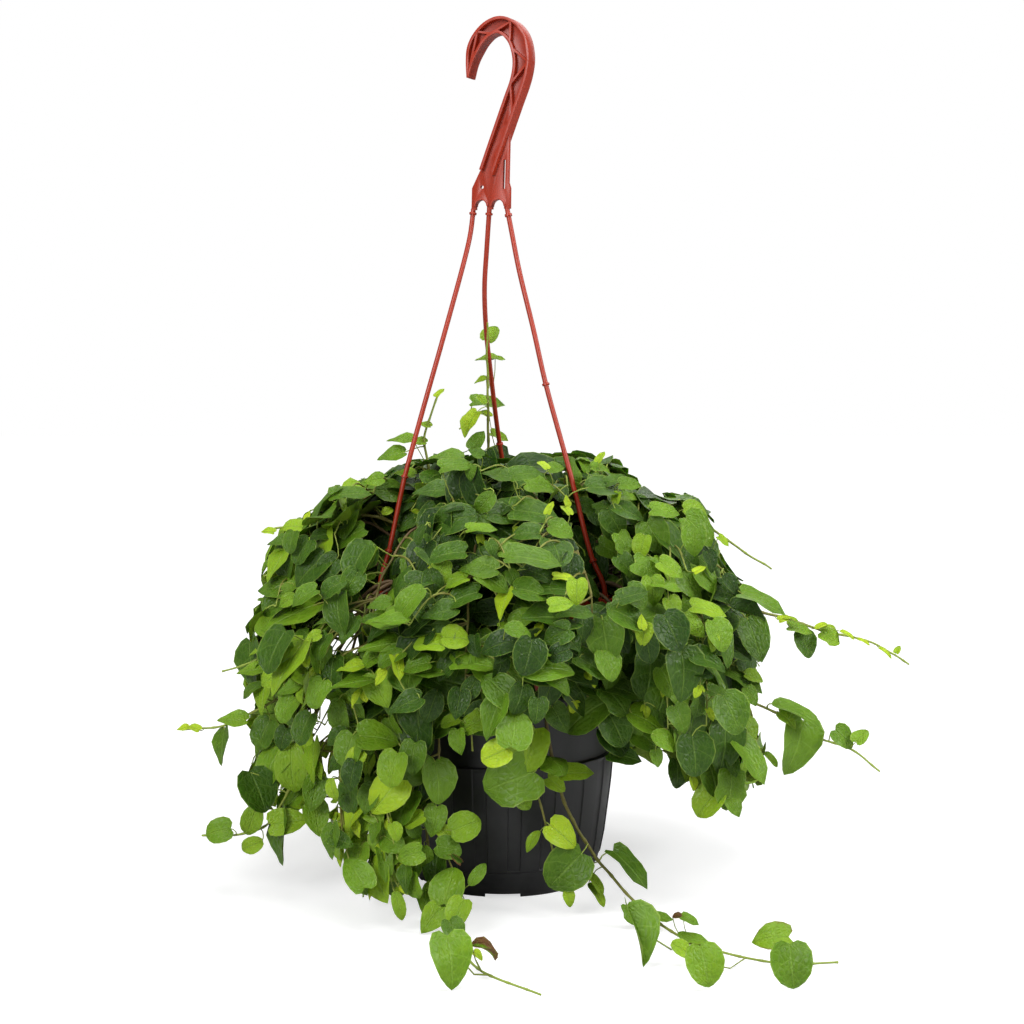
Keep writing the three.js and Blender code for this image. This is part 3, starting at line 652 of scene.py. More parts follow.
crumb_tree, given, made = new_tree(
    "soil_crumbs",
    [("Crumb", "Object"), ("Size", "Float"), ("Spacing", "Float"), ("Seed", "Int"), ("Soil", "Material")],
)
normal = add(crumb_tree, "GeometryNodeInputNormal")
upright = add(crumb_tree, "ShaderNodeSeparateXYZ", {0: normal.outputs[0]})
is_top = add(crumb_tree, "FunctionNodeCompare", {0: upright.outputs[2], 1: 0.7}, operation="GREATER_THAN")
scatter = add(
    crumb_tree,
    "GeometryNodeDistributePointsOnFaces",
    {"Mesh": given.outputs["Geometry"], "Selection": is_top.outputs[0], "Seed": given.outputs["Seed"]},
    distribute_method="POISSON",
)
crumb_tree.links.new(given.outputs["Spacing"], scatter.inputs["Distance Min"])
scatter.inputs["Density Max"].default_value = 90000
turn = add(crumb_tree, "FunctionNodeRandomValue", {1: (6.28, 6.28, 6.28)}, data_type="FLOAT_VECTOR")
share = add(crumb_tree, "FunctionNodeRandomValue", {2: 0.5, 3: 1.3}, data_type="FLOAT")
sized = {0: share.outputs[1], 1: given.outputs["Size"]}
scale = add(crumb_tree, "ShaderNodeMath", sized, operation="MULTIPLY")
crumb_info = add(crumb_tree, "GeometryNodeObjectInfo", {"Object": given.outputs["Crumb"]})
turned_by = add(crumb_tree, "FunctionNodeEulerToRotation", {0: turn.outputs[0]})
lumps = add(
    crumb_tree,
    "GeometryNodeInstanceOnPoints",
    {
        "Points": scatter.outputs["Points"],
        "Instance": crumb_info.outputs["Geometry"],
        "Rotation": turned_by.outputs[0],
        "Scale": scale.outputs[0],
    },
)
whole = add(crumb_tree, "GeometryNodeJoinGeometry")
for part in (lumps, given.outputs["Geometry"]):
    give(crumb_tree, whole, {0: part})
real = add(crumb_tree, "GeometryNodeRealizeInstances", {0: whole})
skinned = add(crumb_tree, "GeometryNodeSetMaterial", {0: real, "Material": given.outputs["Soil"]})
give(crumb_tree, made, {0: skinned})

soil_mesh = grown(
    soil_mesh,
    crumb_tree,
    {"Crumb": crumb_object, "Size": 1.1 * MM, "Spacing": 2.6 * MM, "Seed": 4, "Soil": potting_soil},
)
finish_piece("potting_soil", soil_mesh, [], "potting_soil", "potting_soil")
bpy.data.objects.remove(crumb_object)

# %% [markdown]
# The hook, the strands and the runners of the fig all follow bent lines. One function draws a smooth
# line through a few chosen points. The centripetal kind of curve is used, since it makes no loops
# where the points lie close together.

# %% Lines through points


def table_of(points):
    """Points as the rows of an array"""
    return np.array([tuple(point) for point in points])


def smooth_line(points, spacing):
    """A centripetal Catmull-Rom line through points, as points at even steps of about the spacing"""
    points = [Vector(point) for point in points]
    ends = [2 * points[0] - points[1], *points, 2 * points[-1] - points[-2]]
    dense = []
    for before, start, stop, after in zip(ends, ends[1:], ends[2:], ends[3:]):
        steps = ((before, start), (start, stop), (stop, after))
        first, middle, last = [math.sqrt((b - a).length) for a, b in steps]
        leave = (start - before) / first - (stop - before) / (first + middle) + (stop - start) / middle
        reach = (stop - start) / middle - (after - start) / (middle + last) + (after - stop) / last
        for i in range(16):
            t = i / 16
            place = (2 * t**3 - 3 * t**2 + 1) * start + (t**3 - 2 * t**2 + t) * middle * leave
            place += (3 * t**2 - 2 * t**3) * stop + (t**3 - t**2) * middle * reach
            dense.append(place)
    dense.append(points[-1])
    lengths = np.cumsum([0] + [(b - a).length for a, b in zip(dense, dense[1:])])
    steps = max(2, round(lengths[-1] / spacing))
    wanted = np.linspace(0, lengths[-1], steps + 1)
    table = table_of(dense)
    columns = [np.interp(wanted, lengths, table[:, i]) for i in range(3)]
    return [Vector(row) for row in np.column_stack(columns)]


print("steps of a 10 cm line:", len(smooth_line([(0, 0, 0), (50, 0, 0), (100, 0, 0)], 5)))

# %% [markdown]
# The hook is one injection moulding: a channel that bends from its tip over a wide crown and down to a
# flat plate. A thin web runs in the channel's middle plane, flanges follow both edges, and zig-zag ribs
# stiffen it. It's drawn flat, in the plane of the plate, from the middle line and half its width, then
# cut and joined by exact Booleans, and at last turned to its place.

# %% The hanger's hook
HOOK_PLACE = Vector((-9.2, 0, 506.6))
HOOK_TURN = math.radians(-25)
HOOK_DEPTH = 12
HOOK_WEB = 2.2
HOOK_FLANGE = 2.1
HOOK_RIB = 1.5
HOOK_PLATE = 3

# The channel's middle line from the tip to the plate: across, half its width, up
HOOK_LINE = [
    (-16.4, 0.8, 100.6), (-15, 2.8, 112), (-12.4, 4.8, 121), (-7.4, 5.4, 129.2), (0.4, 5.7, 135.7),
    (9.4, 6.3, 137.8), (17.6, 7, 134.4), (24, 7.1, 126.7), (27.3, 6.7, 114.3), (26.8, 6.2, 104),
    (24, 5.9, 93.6), (19.9, 5.9, 83.6), (9.3, 5.9, 57), (-1.3, 5.9, 30),
]
POCKET_END = (-4.6, 5.9, 21.7)  # past the foot, where the two rails of the channel end open
RIB_CORNERS = [
    (-15.6, 104.5), (-8.4, 134), (2.6, 131.8), (19, 139.4), (18.2, 121.5), (33, 109), (18.8, 93.9),
    (20.4, 70),
]


def channel_outline(middle_line, inset, first):
    """The outline of a channel along a line, drawn in by an inset on both sides, from its first point on"""
    flat = smooth_line([(x, 0, z) for x, half, z in middle_line], 2.2)
    halves = smooth_line([(x, half, z) for x, half, z in middle_line], 2.2)
    count = len(flat)
    outer, inner = [], []
    for i in range(first, count):
        along = (flat[min(i + 1, count - 1)] - flat[max(i - 1, 0)]).normalized()
        half = max(halves[min(i, len(halves) - 1)].y - inset, 0.15)
        outer.append((flat[i].x - along.z * half, flat[i].z + along.x * half))
        inner.append((flat[i].x + along.z * half, flat[i].z - along.x * half))
    return outer + inner[::-1]


def slab(outline, near, far):
    """Points and faces of a flat plate of an outline in X and Z, between two depths"""
    count = len(outline)
    points = [Vector((x, near, z)) for x, z in outline] + [Vector((x, far, z)) for x, z in outline]
    faces = [tuple(range(count)), tuple(range(2 * count - 1, count - 1, -1))]
    faces += [((i + 1) % count, i, count + i, count + (i + 1) % count) for i in range(count)]
    return points, faces


def arc(middle, radius, first, last, steps=14):
    """Points on an arc, between two angles in degrees"""
    angles = [math.radians(first + (last - first) * i / steps) for i in range(steps + 1)]
    return [(middle[0] + radius * math.cos(angle), middle[1] + radius * math.sin(angle)) for angle in angles]


LEFT_ARCH = (-7.1, 5)
RIGHT_ARCH = (6.8, 4.6)
plate_outline = [(-15.4, 2.6), (-11.8, 2.6)] + arc(LEFT_ARCH, 4.7, 180, 0) + [(-2.4, 2.6), (1.8, 2.6)]
plate_outline += arc(RIGHT_ARCH, 5, 180, 0) + [(11.8, 2.6), (16.4, 2.6), (16.6, 18), (15.3, 22)]
plate_outline += [(16.2, 58), (9, 62), (-9.5, 29), (-14.9, 18.8)]
slot_outline = [(10.7, 17.5), (12.6, 17.5), (13.2, 39), (11.4, 39)]

channel = together("channel", [slab(channel_outline(HOOK_LINE, 0, 0), -HOOK_DEPTH / 2, HOOK_DEPTH / 2)])
pocket = channel_outline(HOOK_LINE + [POCKET_END], HOOK_FLANGE, 2)
pockets = [slab(pocket, -HOOK_DEPTH, -HOOK_WEB / 2), slab(pocket, HOOK_WEB / 2, HOOK_DEPTH)]
hook_mesh = cut_or_joined(channel, together("pockets", pockets), "DIFFERENCE")
for start, stop in zip(RIB_CORNERS, RIB_CORNERS[1:]):
    along = Vector((stop[0] - start[0], stop[1] - start[1])).normalized()
    side = Vector((-along.y, along.x)) * HOOK_RIB / 2
    head, foot = Vector(start) - along, Vector(stop) + along
    outline = [tuple(head + side), tuple(head - side), tuple(foot - side), tuple(foot + side)]
    rib = together("rib", [slab(outline, -HOOK_DEPTH / 2 + 0.4, HOOK_DEPTH / 2 - 0.4)])
    rib = cut_or_joined(rib, channel, "INTERSECT")
    hook_mesh = cut_or_joined(hook_mesh, rib, "UNION")
plate_mesh = together("plate", [slab(plate_outline, -HOOK_PLATE / 2, HOOK_PLATE / 2)])
plate_mesh = cut_or_joined(plate_mesh, together("slot", [slab(slot_outline, -3, 3)]), "DIFFERENCE")
eyelet = arc((-6.5, 19.4), 1.4, 0, 345, 15)
plate_mesh = cut_or_joined(plate_mesh, together("eyelet", [slab(eyelet, -3, 3)]), "DIFFERENCE")
for middle, radius in ((LEFT_ARCH, 4.7), (RIGHT_ARCH, 5)):
    lip = arc(middle, radius + 1.7, 180, 0) + arc(middle, radius + 0.02, 0, 180)
    plate_mesh = cut_or_joined(plate_mesh, together("lip", [slab(lip, -2.6, 2.6)]), "UNION")
hook_mesh = cut_or_joined(hook_mesh, plate_mesh, "UNION")
for middle in ((15.6, 67.5), (6.2, 42)):
    mark = arc(middle, 2.1, 0, 345, 23)
    hook_mesh = cut_or_joined(hook_mesh, together("mark", [slab(mark, -HOOK_PLATE / 2 - 0.5, 0)]), "UNION")
hook_mesh = outward(hook_mesh)
hook_mesh = modified(hook_mesh, "BEVEL", width=0.3 * MM, segments=2, limit_method="ANGLE", angle_limit=0.6)
hook_mesh.transform(Matrix.Translation(HOOK_PLACE * MM) @ Matrix.Rotation(HOOK_TURN, 4, "Z"))
finish_piece("hanger_hook", edged(hook_mesh, 35), [terracotta], "terracotta_plastic", "hanger_hook")

# %% [markdown]
# Each strand is a thin round rod with small moulded rings on it, a stop ring above its eyelet and a
# barbed foot below. Geometry Nodes follow its line: a chain of points carries how thick the rod is at
# each place, the chain becomes a curve, and a circle is swept along it at that thickness.

# %% The hanger's strands
STRAND_RADIUS = 1.85
STRAND_ROUTES = {
    "left": [
        (-22.4, 6.2, 508.6), (-24.4, 3.4, 492), (-28, -1.5, 475), (-43, -11, 419), (-64, -21, 344),
        (-74, -25.5, 306), (-85, -30.5, 254), (-91.3, -33.2, 232), (-92.6, -33.7, 213),
    ],
    "right": [
        (3.4, -5.9, 508.6), (6.6, -8.8, 492), (12, -14, 464), (23, -24, 418), (32, -31.5, 378),
        (50, -45, 312), (66, -57, 250), (74, -62.6, 232), (75.5, -63.3, 213),
    ],
    "back": [
        (-10.2, 0.5, 508.6), (-12.2, 3, 480), (-14, 9, 451), (-13, 22, 419), (-10, 37, 389),
        (-5, 57, 345), (1, 74, 305), (11, 91, 252), (16.2, 95.8, 232), (17.1, 97, 213),
    ],
}
RING_HEIGHTS = {"left": [506.6, 309, 254], "right": [504.4, 378, 249], "back": [505.8, 330, 262]}
STRAND_TOP = Vector((0, 0, 1.6))  # each rod runs on into the foot of the plate



def swept_tube(tree, chains, sides):
    """Chains of points as closed tubes, as thick as the points say"""
    curve = add(tree, "GeometryNodeMeshToCurve", {0: chains})
    circle = add(tree, "GeometryNodeCurvePrimitiveCircle", {"Resolution": sides, "Radius": 1.0})
    thick = add(tree, "GeometryNodeInputNamedAttribute", {"Name": "thick"}, data_type="FLOAT")
    swept = {"Curve": curve, "Profile Curve": circle, "Scale": thick, "Fill Caps": True}
    return add(tree, "GeometryNodeCurveToMesh", swept)


tube_tree, given, made = new_tree("swept_strand", [("Sides", "Int"), ("Plastic", "Material")])
tube = swept_tube(tube_tree, given.outputs["Geometry"], given.outputs["Sides"])
real = add(tube_tree, "GeometryNodeRealizeInstances", {0: tube})
skinned = add(tube_tree, "GeometryNodeSetMaterial", {0: real, "Material": given.outputs["Plastic"]})
give(tube_tree, made, {0: skinned})


def strand_profile(height, rings):
    """How thick a strand is at a height: rod, rings, stop ring above the eyelet and barbed foot below"""
    for ring_height in rings:
        if abs(height - ring_height) < 0.9:
            return 2.8
    if 222.5 < height < 224.4:
        return 3.4
    if 214.2 < height < 219.2:
        return 1.5 + 2.9 * (height - 214.2) / 5
    return STRAND_RADIUS


strand_lines = {}
for side, route in STRAND_ROUTES.items():
    line = smooth_line(route, 0.35)
    strand_lines[side] = line
    chain_points, thickness = [line[0] + STRAND_TOP, line[0]], [STRAND_RADIUS, STRAND_RADIUS]
    for before, place in zip(line, line[1:]):
        now = strand_profile(place.z, RING_HEIGHTS[side])
        far = (place - chain_points[-1]).length > 6
        if now != thickness[-1] or far or place is line[-1]:
            if now != thickness[-1]:
                chain_points.append(before)
                thickness.append(thickness[-1])
            chain_points.append(place)
            thickness.append(now)
    chain_mesh = bpy.data.meshes.new("strand_chain")
    edges = [(i, i + 1) for i in range(len(chain_points) - 1)]
    chain_mesh.from_pydata([p * MM for p in chain_points], edges, [])
    thick_values = chain_mesh.attributes.new("thick", "FLOAT", "POINT").data
    thick_values.foreach_set("value", [t * MM for t in thickness])
    tube_mesh = grown(chain_mesh, tube_tree, {"Sides": 14, "Plastic": terracotta})
    name = f"hanger_strand_{side}"
    finish_piece(name, edged(outward(tube_mesh), 40), [], "terracotta_plastic", name)

# %% [markdown]
# All leaves of a creeping fig are cousins of one shape: a rounded heart with a short point, a wavy edge
# and a blade that bends along the midrib. Nine patterns are drawn once, each a closed thin shell of 64
# faces, and every leaf of the plant is one of them at its own size and turn. A pattern is one unit
# long, its stalk end is at the origin, its midrib runs along Y and its top faces up.

# %% Leaf patterns
LEAF_ROWS = [0.0, 0.06, 0.17, 0.31, 0.47, 0.63, 0.79, 0.92, 1.0]
LEAF_COLUMNS = [-1.0, -0.5, 0.0, 0.5, 1.0]
LEAF_THICKNESS = 0.016

# The blade's edge at each row: how far out, as a share of its full width, and how far along
HEART = [
    (0, 0), (0.18, -0.1), (0.37, -0.06), (0.48, 0.11), (0.5, 0.31), (0.43, 0.53),
    (0.3, 0.73), (0.13, 0.9), (0, 1),
]
ROUND = [
    (0, 0), (0.19, -0.08), (0.38, 0.0), (0.49, 0.2), (0.5, 0.44), (0.43, 0.67),
    (0.29, 0.85), (0.12, 0.96), (0, 1),
]
OVATE = [
    (0, 0), (0.17, 0.0), (0.34, 0.1), (0.46, 0.26), (0.5, 0.45), (0.44, 0.64),
    (0.31, 0.8), (0.14, 0.93), (0, 1),
]
NARROW = [
    (0, 0), (0.17, 0.03), (0.34, 0.12), (0.46, 0.28), (0.5, 0.48), (0.44, 0.67),
    (0.31, 0.82), (0.14, 0.94), (0, 1),
]
LOBED = [
    (0, 0), (0.2, -0.11), (0.41, -0.05), (0.5, 0.13), (0.44, 0.33), (0.48, 0.54),
    (0.39, 0.76), (0.18, 0.93), (0, 1),
]

# Outline, width, fold (radians), cup, wave of the edge, bend (radians), wave's start
LEAF_PATTERNS = [
    (ROUND, 0.97, 0.16, 0.06, 0.035, 0.55, 0.4),
    (HEART, 0.86, 0.28, -0.12, 0.04, 0.75, 2.1),
    (HEART, 0.80, 0.12, 0.16, 0.045, 0.25, 4.0),
    (OVATE, 0.68, 0.26, -0.1, 0.04, 0.9, 1.0),
    (NARROW, 0.5, 0.35, 0.0, 0.03, 0.5, 3.0),
    (LOBED, 0.95, 0.1, -0.06, 0.065, 0.6, 5.2),
    (HEART, 0.85, 0.8, -0.1, 0.05, 0.6, 0.9),
    (OVATE, 0.75, -0.18, -0.35, 0.05, 1.4, 2.8),
    (NARROW, 0.6, 0.9, 0.0, 0.09, 1.4, 1.7),
]
ROUND_LEAF, HEART_LEAF, OPEN_LEAF, OVATE_LEAF, NARROW_LEAF = range(5)
LOBED_LEAF, FOLDED_LEAF, CURLED_LEAF, DRY_LEAF = range(5, 9)


def leaf_place(pattern, row, column):
    """A point of the leaf's top skin and the way it faces there, in leaf lengths"""
    outline, width, fold, cup, wave, bend, start = pattern
    edge_out, edge_along = outline[row]
    out = width * edge_out * abs(column)
    along = LEAF_ROWS[row] + (edge_along - LEAF_ROWS[row]) * abs(column)
    side = 1 if column >= 0 else -1
    ripple = wave * column**2 * math.sin(start + 7.5 * along + 1.7 * side)
    lift = out * math.sin(fold) + cup * out**2 / width + ripple * min(1, 4 * edge_out)
    angle = bend * along
    place = Vector((side * out * math.cos(fold), math.sin(angle) / bend, (math.cos(angle) - 1) / bend))
    up = Vector((0, math.sin(angle), math.cos(angle)))
    return place + up * lift, up


def leaf_mesh(name, pattern):
    """One leaf as a closed shell, with its pattern map: top in the first tile, underside in the second"""
    points, faces, map_places = [], [], []
    top, under = {}, {}
    last = len(LEAF_ROWS) - 1
    for row in range(last + 1):
        for i, column in enumerate(LEAF_COLUMNS):
            if row in (0, last) and i > 0:
                top[row, i] = top[row, 0]
                under[row, i] = top[row, 0]
                continue
            place, up = leaf_place(pattern, row, 0 if row in (0, last) else column)
            top[row, i] = under[row, i] = len(points)
            points.append(place)
            if abs(column) < 1:
                under[row, i] = len(points)
                points.append(place - up * LEAF_THICKNESS)
    for tile, side in enumerate((top, under)):
        for row in range(last):
            for i in range(4):
                corners = [(row, i), (row, i + 1), (row + 1, i + 1), (row + 1, i)]
                if row == 0:
                    corners = [(0, i), (1, i + 1), (1, i)]
                elif row == last - 1:
                    corners = [(row, i), (row, i + 1), (last, i)]
                if tile == 1:
                    corners = [corners[0]] + corners[:0:-1]
                faces.append([side[corner] for corner in corners])
                for corner_row, corner_i in corners:
                    u = 0.5 + 0.498 * LEAF_COLUMNS[corner_i]
                    if corner_row in (0, last):
                        u = 0.375 + 0.25 * (i > 1)
                    map_places.append((tile + u, LEAF_ROWS[corner_row]))
    mesh = bpy.data.meshes.new(name)
    mesh.from_pydata(points, [], faces)
    skin_map = mesh.uv_layers.new(name="UVMap")
    for loop, place in enumerate(map_places):
        skin_map.data[loop].uv = place
    return edged(mesh, 70)


leaf_shelf = bpy.data.collections.new("fig_leaf_patterns")
leaf_points = []
for i, pattern in enumerate(LEAF_PATTERNS):
    pattern_mesh = leaf_mesh(f"leaf_{i}", pattern)
    leaf_shelf.objects.link(bpy.data.objects.new(f"leaf_{i}", pattern_mesh))
    leaf_points.append(table_of(vertex.co for vertex in pattern_mesh.vertices))
print("leaf patterns:", len(leaf_points), "faces each:", len(pattern_mesh.polygons))

# %% [markdown]
# The runners start in the soil. Fourteen of them are given one by one, because the picture shows where each
# long one goes; fourteen more hang over the rim all round, and two circles of runners rise from the
# middle and arch over to build the dome. Each route is a short list of azimuth, radius and height.

# %% Runner routes
ROOT = 215.4  # the height where stems leave the soil
LYING = 2.1  # the height of a stem that lies on the floor

RUNNERS = {
    "vine_right_long": [
        (62, 70, ROOT), (64, 84, 240), (69, 110, 243), (74, 153, 222), (76, 182, 215), (79, 218, 203),
        (82, 247, 193), (84, 277, 185), (85, 307, 168),
    ],
    "vine_right_upper": [
        (84, 45, ROOT), (84, 62, 262), (85, 104, 282), (86, 142, 279), (87, 176, 256), (89, 205, 237),
    ],
    "vine_right_lower": [
        (52, 74, ROOT), (53, 90, 232), (54, 104, 231), (57, 122, 215), (62, 162, 173), (67, 195, 149),
        (70, 222, 135), (73, 243, 120), (75, 268, 110), (76, 285, 95),
    ],
    "vine_right_drop": [
        (37, 74, ROOT), (39, 90, 231), (41, 104, 228), (46, 124, 208), (53, 159, 160), (59, 184, 124),
        (62, 192, 97), (60, 182, 80), (58, 169, 68),
    ],
    "vine_floor_right": [
        (18, 74, ROOT), (17, 90, 231), (16, 105, 226), (15, 116, 200), (15, 118, 156), (17, 119, 113),
        (22, 118, 83), (28, 119, 57), (35, 123, 36), (42, 131, 14), (43, 150, LYING + 0.4), (38, 184, LYING),
        (36, 218, LYING), (37, 261, LYING), (40, 292, LYING), (45, 312, LYING),
    ],
    "vine_front_drop": [
        (6, 74, ROOT), (6, 90, 231), (6, 104, 225), (5, 114, 196), (7, 119, 140), (11, 120, 100),
        (15, 119, 66), (19, 117, 40),
    ],
    "vine_floor_front": [
        (-32, 74, ROOT), (-33, 90, 231), (-33, 105, 225), (-33, 116, 196), (-30, 125, 156),
        (-27, 127, 106), (-25, 126, 63), (-23, 127, 30), (-19, 138, 8), (-12, 165, LYING + 0.4),
        (-8, 195, LYING), (-3, 239, LYING), (5, 284, LYING),
    ],
    "vine_left_mid": [
        (-66, 74, ROOT), (-66, 90, 231), (-68, 106, 226), (-72, 128, 196), (-73, 157, 158),
        (-76, 186, 138), (-79, 212, 124), (-82, 243, 119),
    ],
    "vine_left_lower": [
        (-58, 74, ROOT), (-59, 90, 231), (-60, 106, 226), (-62, 124, 205), (-65, 146, 150),
        (-65, 165, 100), (-69, 183, 58), (-73, 204, 46), (-78, 230, 42),
    ],
    "vine_left_upper": [
        (-82, 68, ROOT), (-81, 92, 242), (-79, 126, 228), (-79, 163, 190), (-80, 192, 170), (-82, 213, 163),
    ],
    "vine_left_sprig": [
        (-75, 38, ROOT), (-75, 66, 262), (-75, 118, 281), (-75, 149, 252), (-77, 182, 236),
    ],
    "vine_left_tip": [
        (-92, 50, ROOT), (-91, 76, 270), (-90, 109, 292), (-90, 147, 273), (-90, 180, 267),
    ],
    "vine_climber": [
        (-169, 53, ROOT), (-168, 50, 262), (-166, 47, 310), (-165, 45, 342), (-163, 40, 365),
        (-158, 32, 389), (-149, 24, 408), (-138, 18, 424),
    ],
    "vine_tendril": [
        (-82, 50, ROOT), (-81, 55, 270), (-80, 57, 309), (-80, 60, 336), (-80, 56, 355), (-78, 50, 372),
    ],
}

# Runners over the rim: azimuth, how far out they reach and how low they end
SKIRT = [
    (-10, 126, 122), (-21, 125, 34), (-42, 140, 24), (-51, 150, 48), (-100, 182, 78), (-116, 176, 96),
    (-134, 170, 70), (-152, 166, 92), (173.5, 164, 74), (152, 168, 88), (132, 170, 70), (112, 174, 96),
    (94, 176, 118), (27, 132, 134),
]
for i, (azimuth, reach, end) in enumerate(SKIRT):
    RUNNERS[f"vine_skirt_{i + 1}"] = [
        (azimuth, 73, ROOT), (azimuth, 90, 232), (azimuth, 106, 229), (azimuth, (reach + 104) / 2 + 3, 210),
        (azimuth, reach, (214 + end) / 2), (azimuth, reach - 3, end),
    ]


def share_of(seed):
    """A repeatable number from 0 to 1 for each seed"""
    wave = math.sin(seed * 12.9898 + 4.1414) * 43758.5453
    return wave - math.floor(wave)


# Arching runners, set so that none crosses in front of a strand
ARCHES = {
    "shoulder": {
        "azimuths": [-33, -8, 22, 57, 85, 114, 140, 168, 197, 226, 255, 283],
        "seed": 0, "root": 56, "crest": 112, "high": 276, "reach": 172, "end": 182, "spread": 20,
    },
    "crown": {
        "azimuths": [-22, 15, 62, 98, 134, 172, 208, 234, 258, 276],
        "seed": 12, "root": 24, "crest": 66, "high": 302, "reach": 132, "end": 256, "spread": 10,
    },
}
for kind, arch in ARCHES.items():
    root, crest, high = arch["root"], arch["crest"], arch["high"]
    for i, azimuth in enumerate(arch["azimuths"]):
        far = arch["reach"] + arch["spread"] * (share_of(arch["seed"] + i + 40) - 0.5)
        low = arch["end"] + 2 * arch["spread"] * (share_of(arch["seed"] + i + 80) - 0.5)
        RUNNERS[f"vine_{kind}_{i + 1}"] = [
            (azimuth, root, ROOT), (azimuth, root + 0.25 * (crest - root), high - 28),
            (azimuth, crest, high),
            (azimuth, crest + 0.72 * (far - crest), high - 0.36 * (high - low)), (azimuth, far, low),
        ]
print("runners:", len(RUNNERS))

# %% [markdown]
# A leaf only grows where there is room. It stays outside the pot and the bowl, above the soil and the
# floor, clear of the strands, and not too close to another leaf that faces the same way. The outline of
# the plant in the picture is a second fence, and a few small windows keep open the gaps that the
# picture shows, such as the view of the pot between the runners.

# %% Room for leaves
BODY_HEIGHTS = [0, 16, 20, 24, 52, 78, 100, 102, 146, 148, 153, 154, 180, 215, 217, 224]
BODY_RADII = [68, 75.5, 76, 78, 82.5, 86, 87.5, 84.5, 88.5, 90.8, 90.8, 88, 91, 93, 95.8, 95.8]
STRAND_ROOM = 3.2  # mm from a strand's middle line to the nearest point of a leaf
strand_cloud = table_of(place for line in strand_lines.values() for place in line[::10])

# The outline of the leafy mass in the picture
CANOPY_OUTLINE = [
    (262, 545), (300, 515), (322, 496), (348, 484), (400, 466), (452, 450), (520, 452), (585, 450),
    (625, 462), (645, 490), (712, 496), (722, 560), (758, 600), (762, 660), (748, 700), (768, 760),
    (764, 790), (716, 818), (698, 800), (664, 766), (640, 760), (612, 752), (610, 830), (585, 892),
    (548, 894), (520, 816), (482, 830), (482, 884), (452, 960), (420, 920), (352, 898), (330, 846),
    (262, 812), (240, 790), (258, 740), (238, 690), (240, 640), (258, 590),
]
POT_WINDOW = [
    (441, 742), (480, 748), (512, 742), (560, 712), (612, 742), (610, 790), (600, 840), (590, 872),
    (545, 897), (470, 897), (470, 868), (452, 850), (446, 800),
]
PICTURE_GAPS = [(349, 620, 9), (341, 642, 8), (322, 729, 8), (318, 700, 6), (362, 640, 5)]


def picture_places(points):
    """The picture places and distances of points, one row each"""
    offsets = points - np.array(eye)
    far = offsets @ np.array(view_dir)
    u = PICTURE / 2 + focal_pixels * offsets[:, 0] / far
    v = PICTURE / 2 - focal_pixels * (offsets @ np.array(view_up)) / far
    return u, v, far


def inside(outline, u, v):
    """Which picture places are inside an outline"""
    result = np.zeros(len(u), bool)
    for (u0, v0), (u1, v1) in zip(outline, outline[1:] + outline[:1]):
        if v0 == v1:
            continue
        crosses = (v0 > v) != (v1 > v)
        result ^= crosses & (u < (u1 - u0) * (v - v0) / (v1 - v0) + u0)
    return result


def in_body(points):
    """Which points are inside the pot, the bowl or the soil"""
    radius = np.hypot(points[:, 0], points[:, 1])
    limit = np.interp(points[:, 2], BODY_HEIGHTS, BODY_RADII)
    over_soil = (points[:, 2] > 216.2) & (radius < 87.6)
    return (points[:, 2] < 224.5) & (radius < limit) & ~over_soil


strand_views = []
for side, line in strand_lines.items():
    table = table_of(line)
    u, v, far = picture_places(table)
    strand_views.append((v, u, table[:, 1], side))
STRANDS_ENTER = {"left": 592, "right": 598, "back": 462}  # picture heights where the leaves take them in
STRAND_SLOPE = {"left": 25, "right": 25, "back": 99}  # mm that leaves may rise for each point aside
BOX_LOW = np.array([-254.0, -302.0, 0.35])
BOX_HIGH = np.array([317.0, 178.0, 640.0])


def hides_strand(points, u, v):
    """Whether any of the points would come in front of a strand where the picture shows it"""
    if v.min() > 602 or u.max() < 335 or u.min() > 650:
        return False
    for strand_v, strand_u, strand_y, side in strand_views:
        aside = np.abs(u - np.interp(v, strand_v, strand_u))
        depth = points[:, 1] - np.interp(v, strand_v, strand_y)
        limit = 2.5 - STRAND_SLOPE[side] * np.maximum(0, aside - 4)
        if ((v < STRANDS_ENTER[side]) & (aside < 30) & (depth < limit)).any():
            return True
    return False


def behind_strands(u, v, half):
    """How near a leaf at a picture place may come without hiding a strand, as a y"""
    nearest = -400.0
    for strand_v, strand_u, strand_y, side in strand_views:
        aside = max(0.0, abs(u - np.interp(v, strand_v, strand_u)) - half - 4)
        if v - half < STRANDS_ENTER[side] and aside < 20:
            nearest = max(nearest, np.interp(v, strand_v, strand_y) + 5 - STRAND_SLOPE[side] * aside)
    return nearest


CELL = 4  # picture points; the cells in which the book notes what the leaves cover
EMPTY = 9999.0  # mm; the distance noted for a cell without a leaf


def cells_of(u, v):
    """The rows and columns of the cells that picture places are in"""
    return [np.clip(places // CELL, 0, PICTURE // CELL - 1).astype(int) for places in (v, u)]


